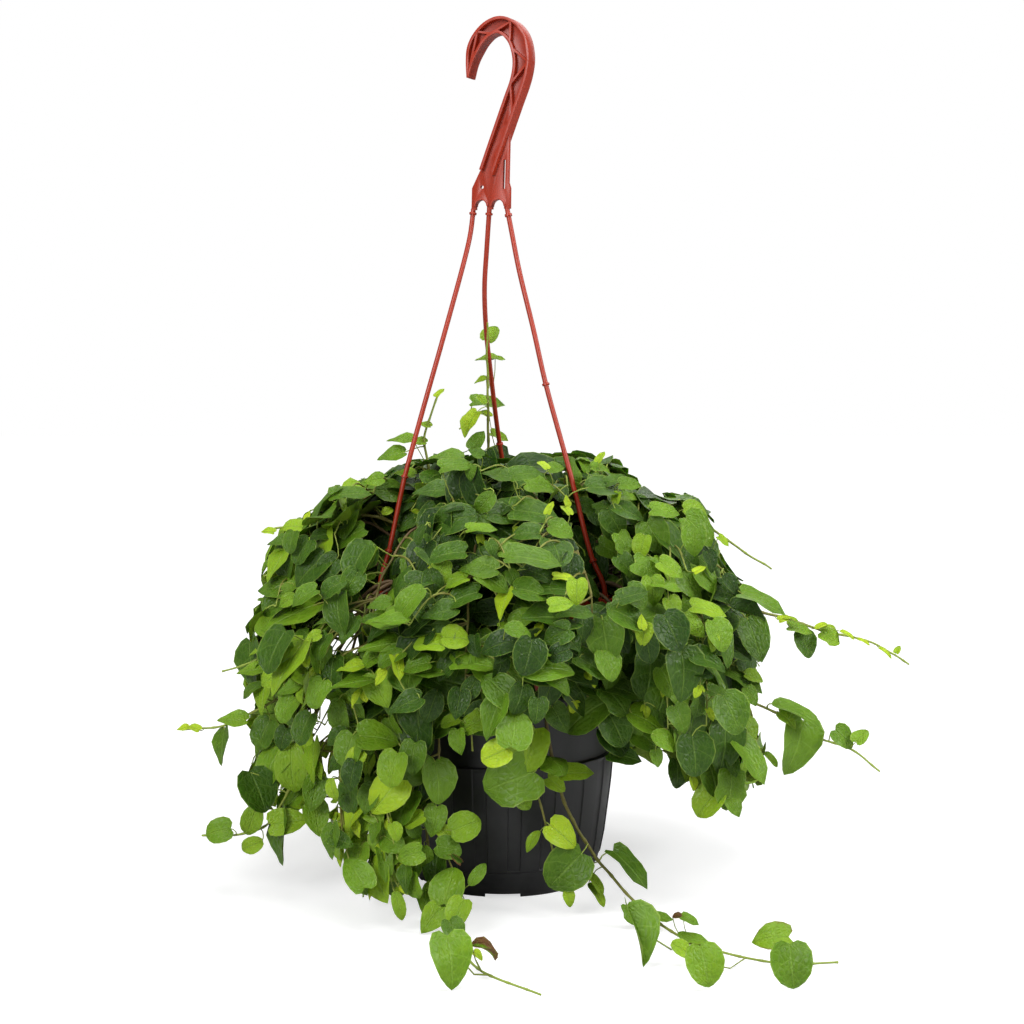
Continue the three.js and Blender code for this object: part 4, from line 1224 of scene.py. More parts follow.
class LeafBook:
    """All leaves so far, for keeping them apart and for keeping the leading ones in view"""

    def __init__(self):
        self.centres = np.zeros((0, 3))
        self.normals = np.zeros((0, 3))
        self.sizes = np.zeros(0)
        self.kept = np.zeros((0, 4))
        self.front = np.full((PICTURE // CELL, PICTURE // CELL), EMPTY)

    def note(self, points, centre, normal, size):
        self.centres = np.vstack([self.centres, tuple(centre)])
        self.normals = np.vstack([self.normals, tuple(normal)])
        self.sizes = np.append(self.sizes, size)
        on_skin = centre.y < -15 and math.hypot(centre.x, centre.y) > 72
        if on_skin or centre.z > 264:
            halfway = (points[:-1] + points[1:]) / 2
            u, v, far = picture_places(np.vstack([points, halfway, (points[:-5] + points[5:]) / 2]))
            rows, columns = cells_of(u, v)
            np.minimum.at(self.front, (rows, columns), far)

    def keep_view(self, u, v, reach, far):
        """Keeps later leaves from coming in front of a picture place"""
        self.kept = np.vstack([self.kept, (u, v, reach, far)])

    def blocks_view(self, u, v, far):
        """Whether points would come in front of a leading leaf"""
        apart = np.hypot(u[:, None] - self.kept[:, 0], v[:, None] - self.kept[:, 1])
        return bool(((apart < self.kept[:, 2]) & (far[:, None] < self.kept[:, 3])).any())

    def crowded(self, centre, normal, size, room):
        """Whether another leaf is so near, and so nearly in the same plane, that they would cross"""
        if not len(self.sizes):
            return False
        offsets = self.centres - np.array(centre)
        apart = np.linalg.norm(offsets, axis=1)
        mean = (self.sizes + size) / 2
        across = np.abs(offsets @ np.array(normal)) + np.abs((offsets * self.normals).sum(axis=1))
        same_plane = (across / 2 < 0.1 * mean) & (apart < 0.8 * room * mean)
        return bool(((apart < 0.36 * room * mean) | same_plane).any())


book = LeafBook()


def has_room(points, free):
    """Whether a leaf with these points stays clear of the pieces, the floor and the picture's windows"""
    if (points < BOX_LOW).any() or (points > BOX_HIGH).any() or in_body(points).any():
        return False
    near = strand_cloud[np.linalg.norm(strand_cloud - points.mean(axis=0), axis=1) < 45]
    if len(near) and (np.linalg.norm(points[:, None] - near[None], axis=2) < STRAND_ROOM).any():
        return False
    u, v, far = picture_places(points)
    if hides_strand(points, u, v):
        return False
    if free:
        return True
    if book.blocks_view(u, v, far):
        return False
    if not inside(CANOPY_OUTLINE, u[::5], v[::5]).all():
        return False
    front = points[:, 1] < 0
    if (inside(POT_WINDOW, u, v) & front).any():
        return False
    for gap_u, gap_v, reach in PICTURE_GAPS:
        if (np.hypot(u - gap_u, v - gap_v) < reach).any():
            return False
    return True


print("pot window points:", len(POT_WINDOW))

# %% [markdown]
# Stems and leaves are grown in plain code first and become geometry afterwards. A stem is a chain of
# places with a thickness and an age at each. It swells a little at its joints, where the leaves sit. A
# leaf turns its top to the light: upwards and outwards on the dome, more and more outwards down the
# drape, and straight up on the floor. Its tip hangs away from the stem and downwards.

# %% Stems and leaves of a runner
NEAR_FLOOR = 14  # mm; what is lower lies flat on the floor
JOINT_SPACING = 17  # mm between two leaves on a runner
SHOOT_SPACING = 13  # mm between two leaves on a side shoot
LEAF_LENGTH = 39  # mm, of a full-grown ordinary leaf


class Runner:
    """One runner's stems and leaves"""

    def __init__(self, name):
        self.name = name
        self.chance = random.Random(name)
        self.stems = []
        self.leaves = []


def facing(place):
    """The way that a leaf at a place turns its top"""
    if place.z < NEAR_FLOOR:
        return Vector((0, 0, 1))
    outward_way = Vector((place.x, place.y, 1.15 * max(0, place.z - 150))).normalized()
    return (outward_way + Vector((0, 0, 0.5))).normalized()


def clamped(value):
    """A value kept between 0 and 1"""
    return min(1.0, max(0.0, value))


def stray(chance, amount):
    """A short step in a random direction"""
    return Vector([chance.gauss(0, amount) for axis in range(3)])


def joint_places(line, spacing):
    """The indexes of a stem's joints, a spacing apart along it"""
    joints = []
    travelled = 0.0
    for i in range(1, len(line)):
        travelled += (line[i] - line[i - 1]).length
        if travelled >= spacing * (len(joints) + 1):
            joints.append(i)
    return joints


def above_floor(line, thick):
    """The same line, with no part of the stem below what the pot stands on"""
    return [Vector((place.x, place.y, max(place.z, thick + 0.5))) for place in line]


def add_stem(runner, line, thick_start, thick_end, age_start, age_end, spacing):
    """Adds a stem along a line, a little thicker at every joint"""
    thickness, ages = [], []
    travelled = 0.0
    for i, place in enumerate(line):
        if i:
            travelled += (place - line[i - 1]).length
        share = i / (len(line) - 1)
        offset = (travelled + spacing / 2) % spacing - spacing / 2
        swelling = 0.35 * math.exp(-((offset / 1.6) ** 2))
        thickness.append((thick_start + (thick_end - thick_start) * share) * (1 + swelling))
        ages.append(age_start + (age_end - age_start) * share)
    runner.stems.append((above_floor(line, thick_start), thickness, ages, False))


def leaf_turn(normal, tip):
    """The rotation of a leaf whose top faces one way and whose tip points another"""
    normal = normal.normalized()
    along = (tip - normal * tip.dot(normal)).normalized()
    across = along.cross(normal)
    return Matrix((across, along, normal)).transposed()


def add_leaf(runner, joint, base, normal, tip, size, kind, age, wear=0.0, free=False, room=1.0):
    """Adds a leaf with its stalk if there is room for it, and says whether it did"""
    turn = leaf_turn(normal, tip)
    points = leaf_points[kind] * size @ np.array(turn).T + np.array(base)
    centre = Vector(points.mean(axis=0))
    if not has_room(points, free) or book.crowded(centre, turn.col[2], size, room):
        return False
    book.note(points, centre, turn.col[2], size)
    tint = runner.chance.random()
    runner.leaves.append((base, turn.to_euler(), size, kind, age, tint, wear))
    arm = base - joint
    if arm.length > 30 and base.z > 60 and math.hypot(base.x, base.y) < 185:
        joint = base - arm * (24 / arm.length)
        arm = base - joint
    bow = (turn.col[1] * -0.25 + facing(joint) * 0.12) * min(arm.length, 9.0)
    if arm.length > 18:
        bow = facing(joint) * -0.22 * arm.length
    stalk = [joint, joint + arm * 0.35 + bow * 0.9, joint + arm * 0.75 + bow * 0.7]
    stalk.append(base + turn.col[1] * 0.03 * size)
    thin = 0.26 + 0.008 * size
    thickness = [thin * 1.3, thin, thin, thin * 0.8]
    runner.stems.append((above_floor(stalk, thin * 1.3), thickness, [0.12, 0.05, 0.0, 0.0], True))
    return True


def region_age_and_light(place):
    """How much lighter the leaves are in a part of the plant: lighter on the left and low in front, partly
    for the younger leaves there and partly as painted light, and a little darker at the top and in the
    middle
    """
    left = clamped((-30 - place.x) / 90)
    low = clamped((170 - place.z) / 110)
    top = clamped((place.z - 230) / 60)
    middle = 1 - clamped(abs(place.x + 10) / 110)
    return 0.08 * top + 0.1 * middle - 0.2 * left - 0.22 * low


def leafy(runner, line, joints, age_root, age_tip, start=0.0, ripe=45):
    """Leaves on alternate sides of a stem, smaller and lighter towards its tip"""
    chance = runner.chance
    side = chance.choice((-1, 1))
    length = len(line)
    for i in joints:
        share = i / length
        if share < start:
            continue
        joint = line[i]
        along = (line[min(i + 1, length - 1)] - line[max(i - 1, 0)]).normalized()
        young = min(1.0, (length - i) * (line[1] - line[0]).length / ripe + 0.45)
        for attempt in range(5):
            side = -side
            normal = facing(joint) + stray(chance, 0.24)
            across = along.cross(normal).normalized() * side
            droop = Vector((0, 0, -1)) * (0.5 if joint.z > NEAR_FLOOR else 0.0)
            tip = across * chance.uniform(0.5, 1.1) + along * chance.uniform(0.1, 0.8) + droop
            tip += facing(joint) * 0.1
            this_size = LEAF_LENGTH * young * chance.uniform(0.78, 1.15)
            stalk_way = (across * 0.8 + along * 0.4 + facing(joint) * chance.uniform(0.35, 0.9)).normalized()
            base = joint + stalk_way * this_size * chance.uniform(0.22, 0.42)
            # The region's share makes the leaves lighter on the left and low in front, partly as painted
            # light
            age = age_root + (age_tip - age_root) * share + region_age_and_light(joint) + chance.gauss(0, 0.07)
            kind = chance.choices(range(8), weights=(22, 22, 18, 14, 4, 8, 7, 5))[0]
            if young < 0.55:
                kind = chance.choice((HEART_LEAF, OVATE_LEAF, NARROW_LEAF))
            wear = chance.choice((0, 0, 0, 0, 0.2, 0.4))
            if add_leaf(runner, joint, base, normal, tip, this_size, kind, age, wear):
                break


def tip_leaves(runner, line, size):
    """Two or three small young leaves at the end of a stem"""
    chance = runner.chance
    end = line[-1]
    along = (line[-1] - line[-3]).normalized()
    for i in range(3):
        spread = stray(chance, 0.5)
        normal = facing(end) + stray(chance, 0.3)
        tip = along + spread
        this_size = size * (1.0, 0.75, 0.5)[i]
        base = end + (along * 0.4 + spread * 0.3) * this_size * 0.3
        kind = (NARROW_LEAF, OVATE_LEAF, NARROW_LEAF)[i]
        add_leaf(runner, end, base, normal, tip, this_size, kind, 0.04 + 0.08 * i, room=0.3)


def side_stem(runner, joint, along, length):
    """A side shoot that leaves a joint sideways and outwards and then droops, or None without room"""
    chance = runner.chance
    for attempt in range(4):
        out = facing(joint)
        across = along.cross(out).normalized() * chance.choice((-1, 1))
        way = along * chance.uniform(0.2, 0.9) + across * chance.uniform(0.6, 1.2)
        way += out * chance.uniform(0.1, 0.6)
        way.normalize()
        drop = Vector((0, 0, -1)) * length * chance.uniform(0.15, 0.5)
        if joint.z < NEAR_FLOOR:
            way = Vector((way.x, way.y, 0.05)).normalized()
            drop = Vector((0, 0, 0))
        middle = joint + way * length * 0.5 + out * length * 0.06
        end = joint + way * length * 0.95 + drop
        line = smooth_line([joint, middle, end], 3)
        table = table_of(line[1:])
        u, v, far = picture_places(table)
        if in_body(table).any() or (table < BOX_LOW + 2).any() or (table > BOX_HIGH - 4).any():
            continue
        apart = np.linalg.norm(table[:, None] - strand_cloud[None], axis=2)
        if (apart < 4).any() or hides_strand(table, u, v):
            continue
        if inside(CANOPY_OUTLINE, u, v).all() and not (inside(POT_WINDOW, u, v) & (table[:, 1] < 0)).any():
            return line
    return None


noise.seed_set(7)  # vector noise starts from the clock unless it has a seed
runners = {}
for name, route in RUNNERS.items():
    runner = runners[name] = Runner(name)
    line = smooth_line([around(*stop) for stop in route], 2.5)
    for i, place in enumerate(line):
        calm = min(1.0, i / 8) * min(1.0, place.z / 40)
        place += 1.3 * calm * noise.noise_vector(place * 0.05)
    runner.line = line
    runner.free = name.startswith(("vine_right", "vine_left", "vine_floor", "vine_climber", "vine_tendril"))
    if runner.free:
        add_stem(runner, line, 1.5, 0.7, 0.8, -0.1, JOINT_SPACING)
    else:
        add_stem(runner, line, 1.2, 0.65, 1.0, 0.2, JOINT_SPACING)
    runner.joints = joint_places(line, JOINT_SPACING)
    runner.side_lines = []
    for i in runner.joints[2:-1]:
        if runner.free and not 0.1 < i / len(line) < 0.45:
            continue
        for again in range(2):
            along = (line[i + 1] - line[i - 1]).normalized()
            length = runner.chance.uniform(28, 62)
            shoot = side_stem(runner, line[i], along, length)
            if shoot:
                runner.side_lines.append((shoot, joint_places(shoot, SHOOT_SPACING)))
print("side shoots:", sum(len(runner.side_lines) for runner in runners.values()))

# %% [markdown]
# The leaves that the eye meets first are given one by one. Each row is a leaf in the picture: where its
# middle is, how long and how wide it looks there, which way its tip points (0 to the right, 90 up), its
# age from 0 for lime to 1 for the darkest green, and its pattern where that matters. A leaf that looks
# narrower than its pattern is turned about its midrib, so the width settles how it faces.

# %% Leading leaves
CROWN = [
    (352, 493, 40, 15, 8, .75), (394, 490, 40, 26, 0, .7), (384, 504, 27, 13, 10, .6),
    (388, 510, 15, 10, 30, .12), (404, 473, 22, 11, 170, .5), (373, 480, 20, 15, 190, .6),
    (444, 456, 34, 12, 175, .65), (458, 465, 34, 16, 10, .7), (478, 439, 22, 16, 60, .55),
    (475, 452, 16, 11, 150, .7), (470, 473, 16, 11, 250, .6), (496, 474, 30, 14, 165, .65),
    (527, 473, 30, 18, 10, .65), (510, 482, 26, 21, 200, .7), (542, 484, 31, 21, 0, .6),
    (513, 454, 14, 7, 40, .1), (543, 464, 13, 7, 130, .12), (556, 467, 18, 13, 20, .6),
    (574, 468, 27, 10, 85, .65), (585, 462, 22, 12, 95, .6), (601, 456, 13, 7, 60, .12),
    (602, 467, 20, 11, 0, .55), (606, 486, 37, 20, 5, .7), (618, 479, 24, 12, 20, .65),
    (631, 484, 22, 15, 0, .55), (628, 496, 20, 9, 350, .5), (616, 498, 13, 8, 250, .15),
    (400, 439, 29, 10, 175, .5), (390, 455, 29, 16, 190, .45), (450, 518, 52, 34, 185, .92, OVATE_LEAF),
    (430, 490, 37, 17, 180, .72), (484, 503, 28, 23, 225, .6), (504, 514, 35, 22, 0, .75),
    (536, 512, 47, 28, 355, .72), (550, 507, 14, 7, 70, .08), (566, 508, 15, 8, 120, .08),
    (567, 500, 12, 6, 90, .08), (576, 508, 26, 14, 10, .7), (588, 506, 25, 20, 330, .7),
    (562, 529, 27, 20, 350, .7), (605, 506, 20, 14, 20, .65), (616, 524, 32, 28, 300, .75),
    (483, 528, 30, 10, 5, .5), (481, 541, 13, 7, 280, .08), (492, 548, 16, 11, 300, .65),
    (517, 548, 35, 20, 10, .6), (536, 558, 54, 22, 355, .6), (524, 531, 32, 20, 170, .75),
    (446, 552, 38, 20, 180, .85), (410, 534, 31, 20, 350, .7), (404, 522, 24, 20, 200, .75),
    (380, 524, 40, 18, 185, .72), (348, 535, 34, 20, 200, .7), (360, 558, 40, 32, 225, .7, CURLED_LEAF),
    (368, 558, 22, 12, 240, .35), (408, 566, 30, 19, 0, .6), (424, 578, 32, 20, 20, .75),
    (434, 562, 13, 7, 60, .1), (442, 574, 22, 20, 270, .45), (495, 582, 35, 22, 330, .6),
    (513, 578, 17, 13, 300, .65), (477, 568, 38, 22, 175, .7), (454, 580, 26, 14, 190, .5),
    (458, 596, 40, 22, 190, .85), (532, 590, 35, 23, 355, .72), (556, 588, 42, 17, 5, .65),
    (565, 577, 22, 8, 0, .08), (577, 593, 26, 22, 270, .15, HEART_LEAF), (562, 604, 25, 17, 10, .4),
    (590, 586, 32, 20, 340, .75), (614, 550, 32, 24, 340, .75), (612, 580, 24, 12, 0, .6),
    (613, 590, 22, 16, 300, .85), (634, 594, 30, 18, 20, .7), (378, 604, 24, 14, 190, .7),
    (406, 601, 44, 25, 215, .6, OVATE_LEAF),
]
MIDDLE = [
    (484, 612, 35, 31, 180, .85), (495, 644, 37, 28, 190, .9), (606, 643, 48, 42, 278, .62, HEART_LEAF),
    (555, 635, 31, 26, 200, .7), (538, 650, 30, 17, 10, .6), (550, 664, 60, 30, 18, .65, OVATE_LEAF),
    (561, 682, 32, 18, 330, .5), (496, 684, 42, 34, 130, .6, HEART_LEAF), (492, 718, 44, 20, 245, .65),
    (515, 727, 39, 36, 80, .5, ROUND_LEAF), (584, 712, 62, 38, 205, .6, OVATE_LEAF),
    (494, 754, 31, 29, 200, .1, ROUND_LEAF), (508, 782, 56, 54, 200, .55, LOBED_LEAF),
    (523, 800, 28, 26, 300, .4), (556, 756, 40, 24, 110, .45, CURLED_LEAF), (578, 772, 33, 18, 5, .4),
    (558, 784, 23, 18, 330, .4), (528, 750, 44, 38, 250, .35), (471, 723, 28, 22, 200, .35, LOBED_LEAF),
    (449, 721, 20, 12, 190, .3), (457, 743, 25, 16, 265, .45), (458, 705, 29, 24, 260, .9),
    (431, 708, 36, 26, 250, .95), (404, 704, 35, 22, 200, .9), (381, 736, 42, 31, 0, .48, HEART_LEAF),
    (416, 734, 42, 33, 265, .85), (428, 642, 32, 18, 170, .3), (457, 637, 28, 25, 0, .36, ROUND_LEAF),
    (476, 663, 45, 17, 0, .42), (422, 671, 40, 11, 175, .6), (398, 668, 24, 9, 290, .15),
    (414, 664, 30, 20, 185, .7), (389, 656, 30, 18, 200, .6), (388, 620, 37, 8, 175, .55),
    (596, 667, 40, 22, 330, .7), (626, 690, 42, 19, 345, .7), (624, 612, 31, 24, 320, .75),
    (577, 612, 36, 15, 0, .75), (529, 658, 37, 32, 260, .9), (520, 629, 31, 17, 0, .6),
    (508, 624, 17, 9, 20, .35), (503, 604, 31, 9, 247, .2), (538, 712, 26, 20, 270, .85),
    (618, 730, 36, 33, 300, .9), (626, 756, 34, 20, 350, .85), (520, 700, 30, 22, 260, .8),
    (470, 690, 30, 24, 240, .85), (444, 668, 30, 20, 220, .8), (560, 720, 30, 24, 300, .75),
    (438, 612, 36, 20, 190, .8),
]
LEFT_DRAPE = [
    (353, 761, 24, 20, 230, .25), (338, 760, 30, 20, 200, .75), (350, 777, 30, 22, 250, .9),
    (368, 767, 25, 12, 260, .35), (391, 770, 35, 29, 250, .4), (384, 798, 46, 40, 230, .22, HEART_LEAF),
    (402, 807, 38, 27, 235, .6), (422, 788, 50, 34, 268, .95, OVATE_LEAF), (440, 782, 42, 28, 285, .55),
    (348, 796, 34, 18, 260, .7), (352, 816, 35, 13, 240, .15), (357, 830, 16, 8, 280, .1),
    (331, 842, 33, 15, 265, .65), (342, 841, 25, 18, 340, .7), (356, 870, 38, 29, 118, .5, HEART_LEAF),
    (385, 866, 31, 11, 285, .5), (374, 833, 21, 9, 250, .6), (396, 832, 18, 12, 300, .3),
    (413, 820, 22, 15, 200, .3), (414, 830, 24, 18, 290, .6), (434, 822, 30, 28, 260, .45),
    (446, 833, 18, 15, 320, .35), (467, 825, 32, 31, 20, .42, ROUND_LEAF), (450, 848, 27, 23, 350, .65),
    (458, 860, 18, 15, 320, .6, DRY_LEAF), (408, 856, 28, 26, 200, .5, HEART_LEAF),
    (426, 858, 24, 22, 280, .55), (405, 880, 27, 12, 265, .6), (413, 887, 24, 14, 280, .4),
    (478, 874, 28, 14, 50, .45, NARROW_LEAF), (448, 884, 38, 33, 80, .45, ROUND_LEAF),
    (428, 890, 21, 16, 200, .5), (399, 906, 30, 14, 290, .35, NARROW_LEAF), (431, 920, 30, 26, 230, .3),
    (428, 908, 26, 10, 300, .45), (457, 912, 26, 23, 240, .4, ROUND_LEAF), (456, 934, 27, 20, 300, .6),
    (453, 962, 46, 34, 285, .6, HEART_LEAF), (488, 946, 34, 13, 0, .5, DRY_LEAF),
    (479, 955, 12, 7, 330, .15), (532, 841, 25, 10, 230, .4, NARROW_LEAF), (366, 800, 30, 22, 240, .7),
    (370, 740, 32, 24, 220, .6), (412, 760, 34, 28, 260, .75),
]
RIGHT_SIDE = [
    (630, 511, 32, 17, 350, .65), (666, 511, 29, 17, 355, .5), (696, 509, 24, 19, 0, .5),
    (702, 530, 40, 31, 322, .55, HEART_LEAF), (694, 542, 30, 26, 270, .6), (724, 541, 14, 8, 320, .25),
    (657, 539, 39, 35, 300, .7), (641, 546, 22, 17, 250, .45), (625, 544, 24, 19, 300, .6),
    (612, 526, 35, 28, 280, .75), (628, 566, 28, 20, 320, .75), (650, 568, 32, 26, 340, .65),
    (672, 569, 28, 19, 330, .42), (691, 582, 33, 28, 310, .65), (708, 580, 28, 20, 320, .6),
    (700, 569, 13, 7, 30, .12), (668, 586, 30, 10, 350, .5), (638, 596, 28, 23, 320, .7),
    (654, 592, 29, 24, 280, .55), (692, 604, 26, 20, 270, .6), (675, 610, 26, 18, 300, .5),
    (630, 616, 40, 26, 340, .75), (710, 610, 36, 16, 350, .4), (751, 612, 38, 24, 350, .95, FOLDED_LEAF),
    (756, 640, 45, 33, 290, .6), (721, 635, 33, 25, 300, .55), (714, 644, 17, 12, 280, .3),
    (765, 602, 48, 14, 340, .6), (785, 618, 13, 8, 20, .15), (801, 629, 25, 11, 350, .45),
    (807, 644, 28, 22, 300, .6, ROUND_LEAF), (821, 625, 15, 6, 30, .15, NARROW_LEAF),
    (832, 636, 23, 18, 340, .45), (791, 618, 17, 4, 0, .15, NARROW_LEAF),
    (829, 626, 15, 4, 8, .15, NARROW_LEAF), (848, 634, 17, 5, 340, .12, NARROW_LEAF),
    (864, 641, 15, 4, 345, .12, NARROW_LEAF), (886, 652, 17, 4, 332, .12, NARROW_LEAF),
    (898, 649, 9, 6, 60, .1), (642, 621, 15, 9, 85, .08), (644, 636, 23, 19, 270, .15, HEART_LEAF),
    (674, 632, 40, 36, 300, .9, ROUND_LEAF), (648, 648, 36, 30, 280, .85), (695, 627, 28, 20, 320, .55),
    (712, 659, 39, 20, 350, .9), (686, 677, 52, 38, 278, .72, HEART_LEAF),
    (651, 680, 45, 34, 270, .7, LOBED_LEAF), (669, 682, 32, 26, 300, .6), (610, 665, 32, 24, 300, .65),
    (619, 700, 36, 26, 320, .7), (747, 680, 40, 18, 330, .6), (755, 676, 20, 12, 350, .35),
    (752, 697, 20, 14, 300, .55), (722, 695, 29, 12, 340, .6), (734, 714, 42, 36, 300, .68, ROUND_LEAF),
    (699, 707, 22, 13, 270, .6), (711, 715, 13, 7, 300, .15), (650, 720, 41, 26, 340, .55),
    (682, 720, 30, 24, 300, .6), (667, 740, 33, 19, 340, .6), (617, 740, 37, 29, 320, .92),
    (657, 759, 17, 13, 280, .5), (696, 756, 42, 38, 280, .85, ROUND_LEAF),
    (727, 750, 52, 37, 272, .7, HEART_LEAF), (754, 762, 47, 22, 305, .45), (749, 731, 28, 20, 300, .5),
    (772, 759, 20, 8, 320, .35, NARROW_LEAF), (790, 719, 24, 14, 330, .35),
    (799, 711, 56, 13, 345, .55, NARROW_LEAF),
    (800, 750, 57, 38, 262, .55, HEART_LEAF), (846, 739, 27, 22, 320, .5), (862, 734, 20, 14, 50, .45),
    (706, 802, 34, 28, 225, .35, ROUND_LEAF), (732, 792, 38, 30, 270, .5, LOBED_LEAF),
    (734, 805, 26, 18, 300, .45), (679, 774, 28, 20, 280, .75), (686, 771, 24, 14, 250, .35),
    (694, 784, 13, 7, 290, .15),
]
LEFT_SIDE = [
    (267, 530, 15, 8, 160, .12), (292, 525, 22, 14, 170, .4), (290, 542, 22, 15, 250, .75),
    (300, 551, 28, 20, 230, .72), (275, 565, 36, 14, 235, .45), (325, 569, 31, 26, 220, .78),
    (355, 561, 39, 29, 235, .7), (330, 586, 34, 20, 200, .7), (350, 585, 30, 26, 240, .75),
    (301, 595, 31, 18, 200, .55), (285, 601, 19, 15, 200, .5), (290, 614, 60, 27, 200, .4),
    (336, 616, 42, 25, 265, .8), (369, 597, 22, 15, 200, .45), (347, 630, 30, 20, 240, .65),
    (272, 650, 46, 28, 235, .7), (312, 637, 17, 12, 200, .2), (285, 667, 60, 24, 235, .44),
    (249, 670, 27, 12, 185, .45), (306, 660, 14, 8, 100, .08), (315, 694, 30, 23, 240, .45),
    (349, 667, 27, 10, 185, .2), (377, 645, 42, 15, 185, .65), (372, 656, 34, 18, 190, .6),
    (350, 682, 44, 11, 185, .5), (287, 689, 26, 13, 200, .7), (262, 699, 31, 13, 260, .5),
    (285, 709, 29, 21, 230, .5), (231, 719, 30, 15, 175, .5), (194, 727, 13, 7, 150, .12),
    (182, 728, 12, 6, 190, .1), (221, 747, 35, 12, 262, .55), (262, 734, 32, 26, 240, .6),
    (282, 740, 24, 20, 250, .75), (302, 729, 32, 22, 240, .7), (304, 744, 26, 18, 260, .4),
    (337, 717, 37, 21, 265, .6), (290, 770, 52, 34, 268, .45, OVATE_LEAF), (312, 762, 39, 12, 265, .5),
    (319, 772, 16, 9, 280, .3), (347, 751, 34, 28, 250, .6), (331, 790, 23, 12, 270, .2),
    (314, 795, 33, 27, 260, .7), (260, 791, 43, 33, 300, .75), (251, 822, 34, 28, 250, .35),
    (250, 846, 27, 22, 200, .38), (217, 831, 28, 26, 190, .38, ROUND_LEAF), (290, 821, 38, 28, 10, .4),
    (279, 838, 48, 10, 268, .6), (317, 820, 33, 27, 280, .45),
]
CLIMBING = [
    (492, 331, 22, 18, 60, .35, HEART_LEAF), (485, 358, 22, 8, 180, .3), (498, 358, 16, 6, 0, .35),
    (489, 402, 34, 15, 0, .6), (470, 420, 22, 14, 230, .12), (467, 426, 24, 12, 250, .12),
    (481, 397, 16, 9, 120, .5), (500, 436, 20, 10, 340, .5), (484, 412, 15, 8, 140, .1),
    (480, 380, 14, 6, 200, .2), (440, 392, 12, 6, 50, .12), (424, 424, 14, 7, 160, .3),
    (417, 441, 18, 9, 170, .4),
]
ON_FLOOR = [
    (565, 836, 36, 29, 325, .25), (565, 871, 48, 47, 225, .6, ROUND_LEAF), (570, 900, 16, 12, 290, .25),
    (597, 883, 26, 9, 315, .35, NARROW_LEAF), (598, 894, 28, 9, 315, .35, NARROW_LEAF),
    (632, 868, 48, 12, 320, .6), (632, 914, 18, 13, 300, .55), (641, 934, 46, 20, 300, .62, FOLDED_LEAF),
    (660, 917, 28, 8, 0, .5), (681, 916, 18, 9, 10, .5, DRY_LEAF), (691, 920, 18, 9, 340, .5),
    (695, 939, 29, 9, 0, .45), (685, 949, 28, 16, 340, .35), (706, 966, 35, 33, 285, .56, ROUND_LEAF),
    (769, 936, 39, 30, 178, .5, HEART_LEAF), (792, 966, 38, 37, 272, .52, ROUND_LEAF),
]
LEADING = CROWN + MIDDLE + LEFT_DRAPE + RIGHT_SIDE + LEFT_SIDE + CLIMBING + ON_FLOOR
# The browned ones: picture place and how far in the browning reaches
BROWNED = [
    (706, 966, 0.3), (769, 936, 0.5), (488, 946, 0.9), (681, 916, 1.0), (458, 860, 0.7), (832, 636, 0.4),
]
print("leading leaves:", len(LEADING))

# %% [markdown]
# Each leading leaf is carried by the nearest stem behind its picture place, and sits at that stem's
# depth. If another leaf is already there, it moves a little towards the eye or away from it along the
# line of sight, so it stays where the picture shows it, and its stalk is drawn to the stem.

# %% Leading leaves on their stems
stem_rows = []
for name, runner in runners.items():
    for line in [runner.line] + [shoot for shoot, joints in runner.side_lines]:
        stem_rows += [(name, place) for place in line[2:]]
stem_table = table_of(place for name, place in stem_rows)
stem_u, stem_v, stem_far = picture_places(stem_table)
FACE_WIDTHS = [pattern[1] for pattern in LEAF_PATTERNS]


def stem_behind(u, v, depth_counts=0.35):
    """The stem point that best carries a leaf seen at a picture place: near it, and near the front"""
    apart = np.hypot(stem_u - u, stem_v - v)
    near = apart < max(40, apart.min() + 8)
    cost = apart + depth_counts * (stem_far - stem_far[near].min()) + 1000 * ~near
    return stem_rows[int(cost.argmin())][1]


def picture_leaf(u, v, length, width, tip_turn, age, kind, pushes, room, wear=0.0, free=True):
    """Puts a leaf where the picture shows it, at the first depth that has room, and says its distance"""
    joint = stem_behind(u, v, 0.35 if v > 450 else 0.05)
    reach = length * MM_PER_PIXEL * (joint - eye).dot(view_dir) / CAMERA_DISTANCE
    tip_angle = math.radians(tip_turn)
    tip = Vector((1, 0, 0)) * math.cos(tip_angle) + view_up * math.sin(tip_angle)
    beside = tip.cross(view_dir)
    if beside.z < -0.2 or (abs(beside.z) <= 0.2 and beside.x * joint.x < 0):
        beside = -beside
    roll = math.acos(max(0.12, min(1.0, width / (length * FACE_WIDTHS[kind])))) - 0.1
    normal = beside * math.sin(roll) - view_dir * math.cos(roll)
    normal = (normal + Vector((0, 0, 0.25 if joint.z > NEAR_FLOOR else 0.55))).normalized()
    along = tip - view_dir * max(-1.2, min(1.2, tip.dot(normal) / view_dir.dot(normal)))
    size = reach * along.length
    along.normalize()
    start = max(joint.y + pushes[0], behind_strands(u, v, length / 4))
    shape = leaf_points[kind] * size @ np.array(leaf_turn(normal, along)).T
    for push in pushes:
        centre = seen_at(u, v, start + push - pushes[0])
        base = centre - along * size * 0.5
        points = shape + np.array(base)
        middle = Vector(points.mean(axis=0))
        if book.crowded(middle, normal, size, room) or not has_room(points, free):
            continue
        in_front = (stem_far < (base - eye).dot(view_dir) - 3) * 60
        nearest = int((np.linalg.norm(stem_table - np.array(base), axis=1) + in_front).argmin())
        name, carrier = stem_rows[nearest]
        if add_leaf(runners[name], carrier, base, normal, along, size, kind, age, wear, free, room):
            return (centre - eye).dot(view_dir)
    return 0.0


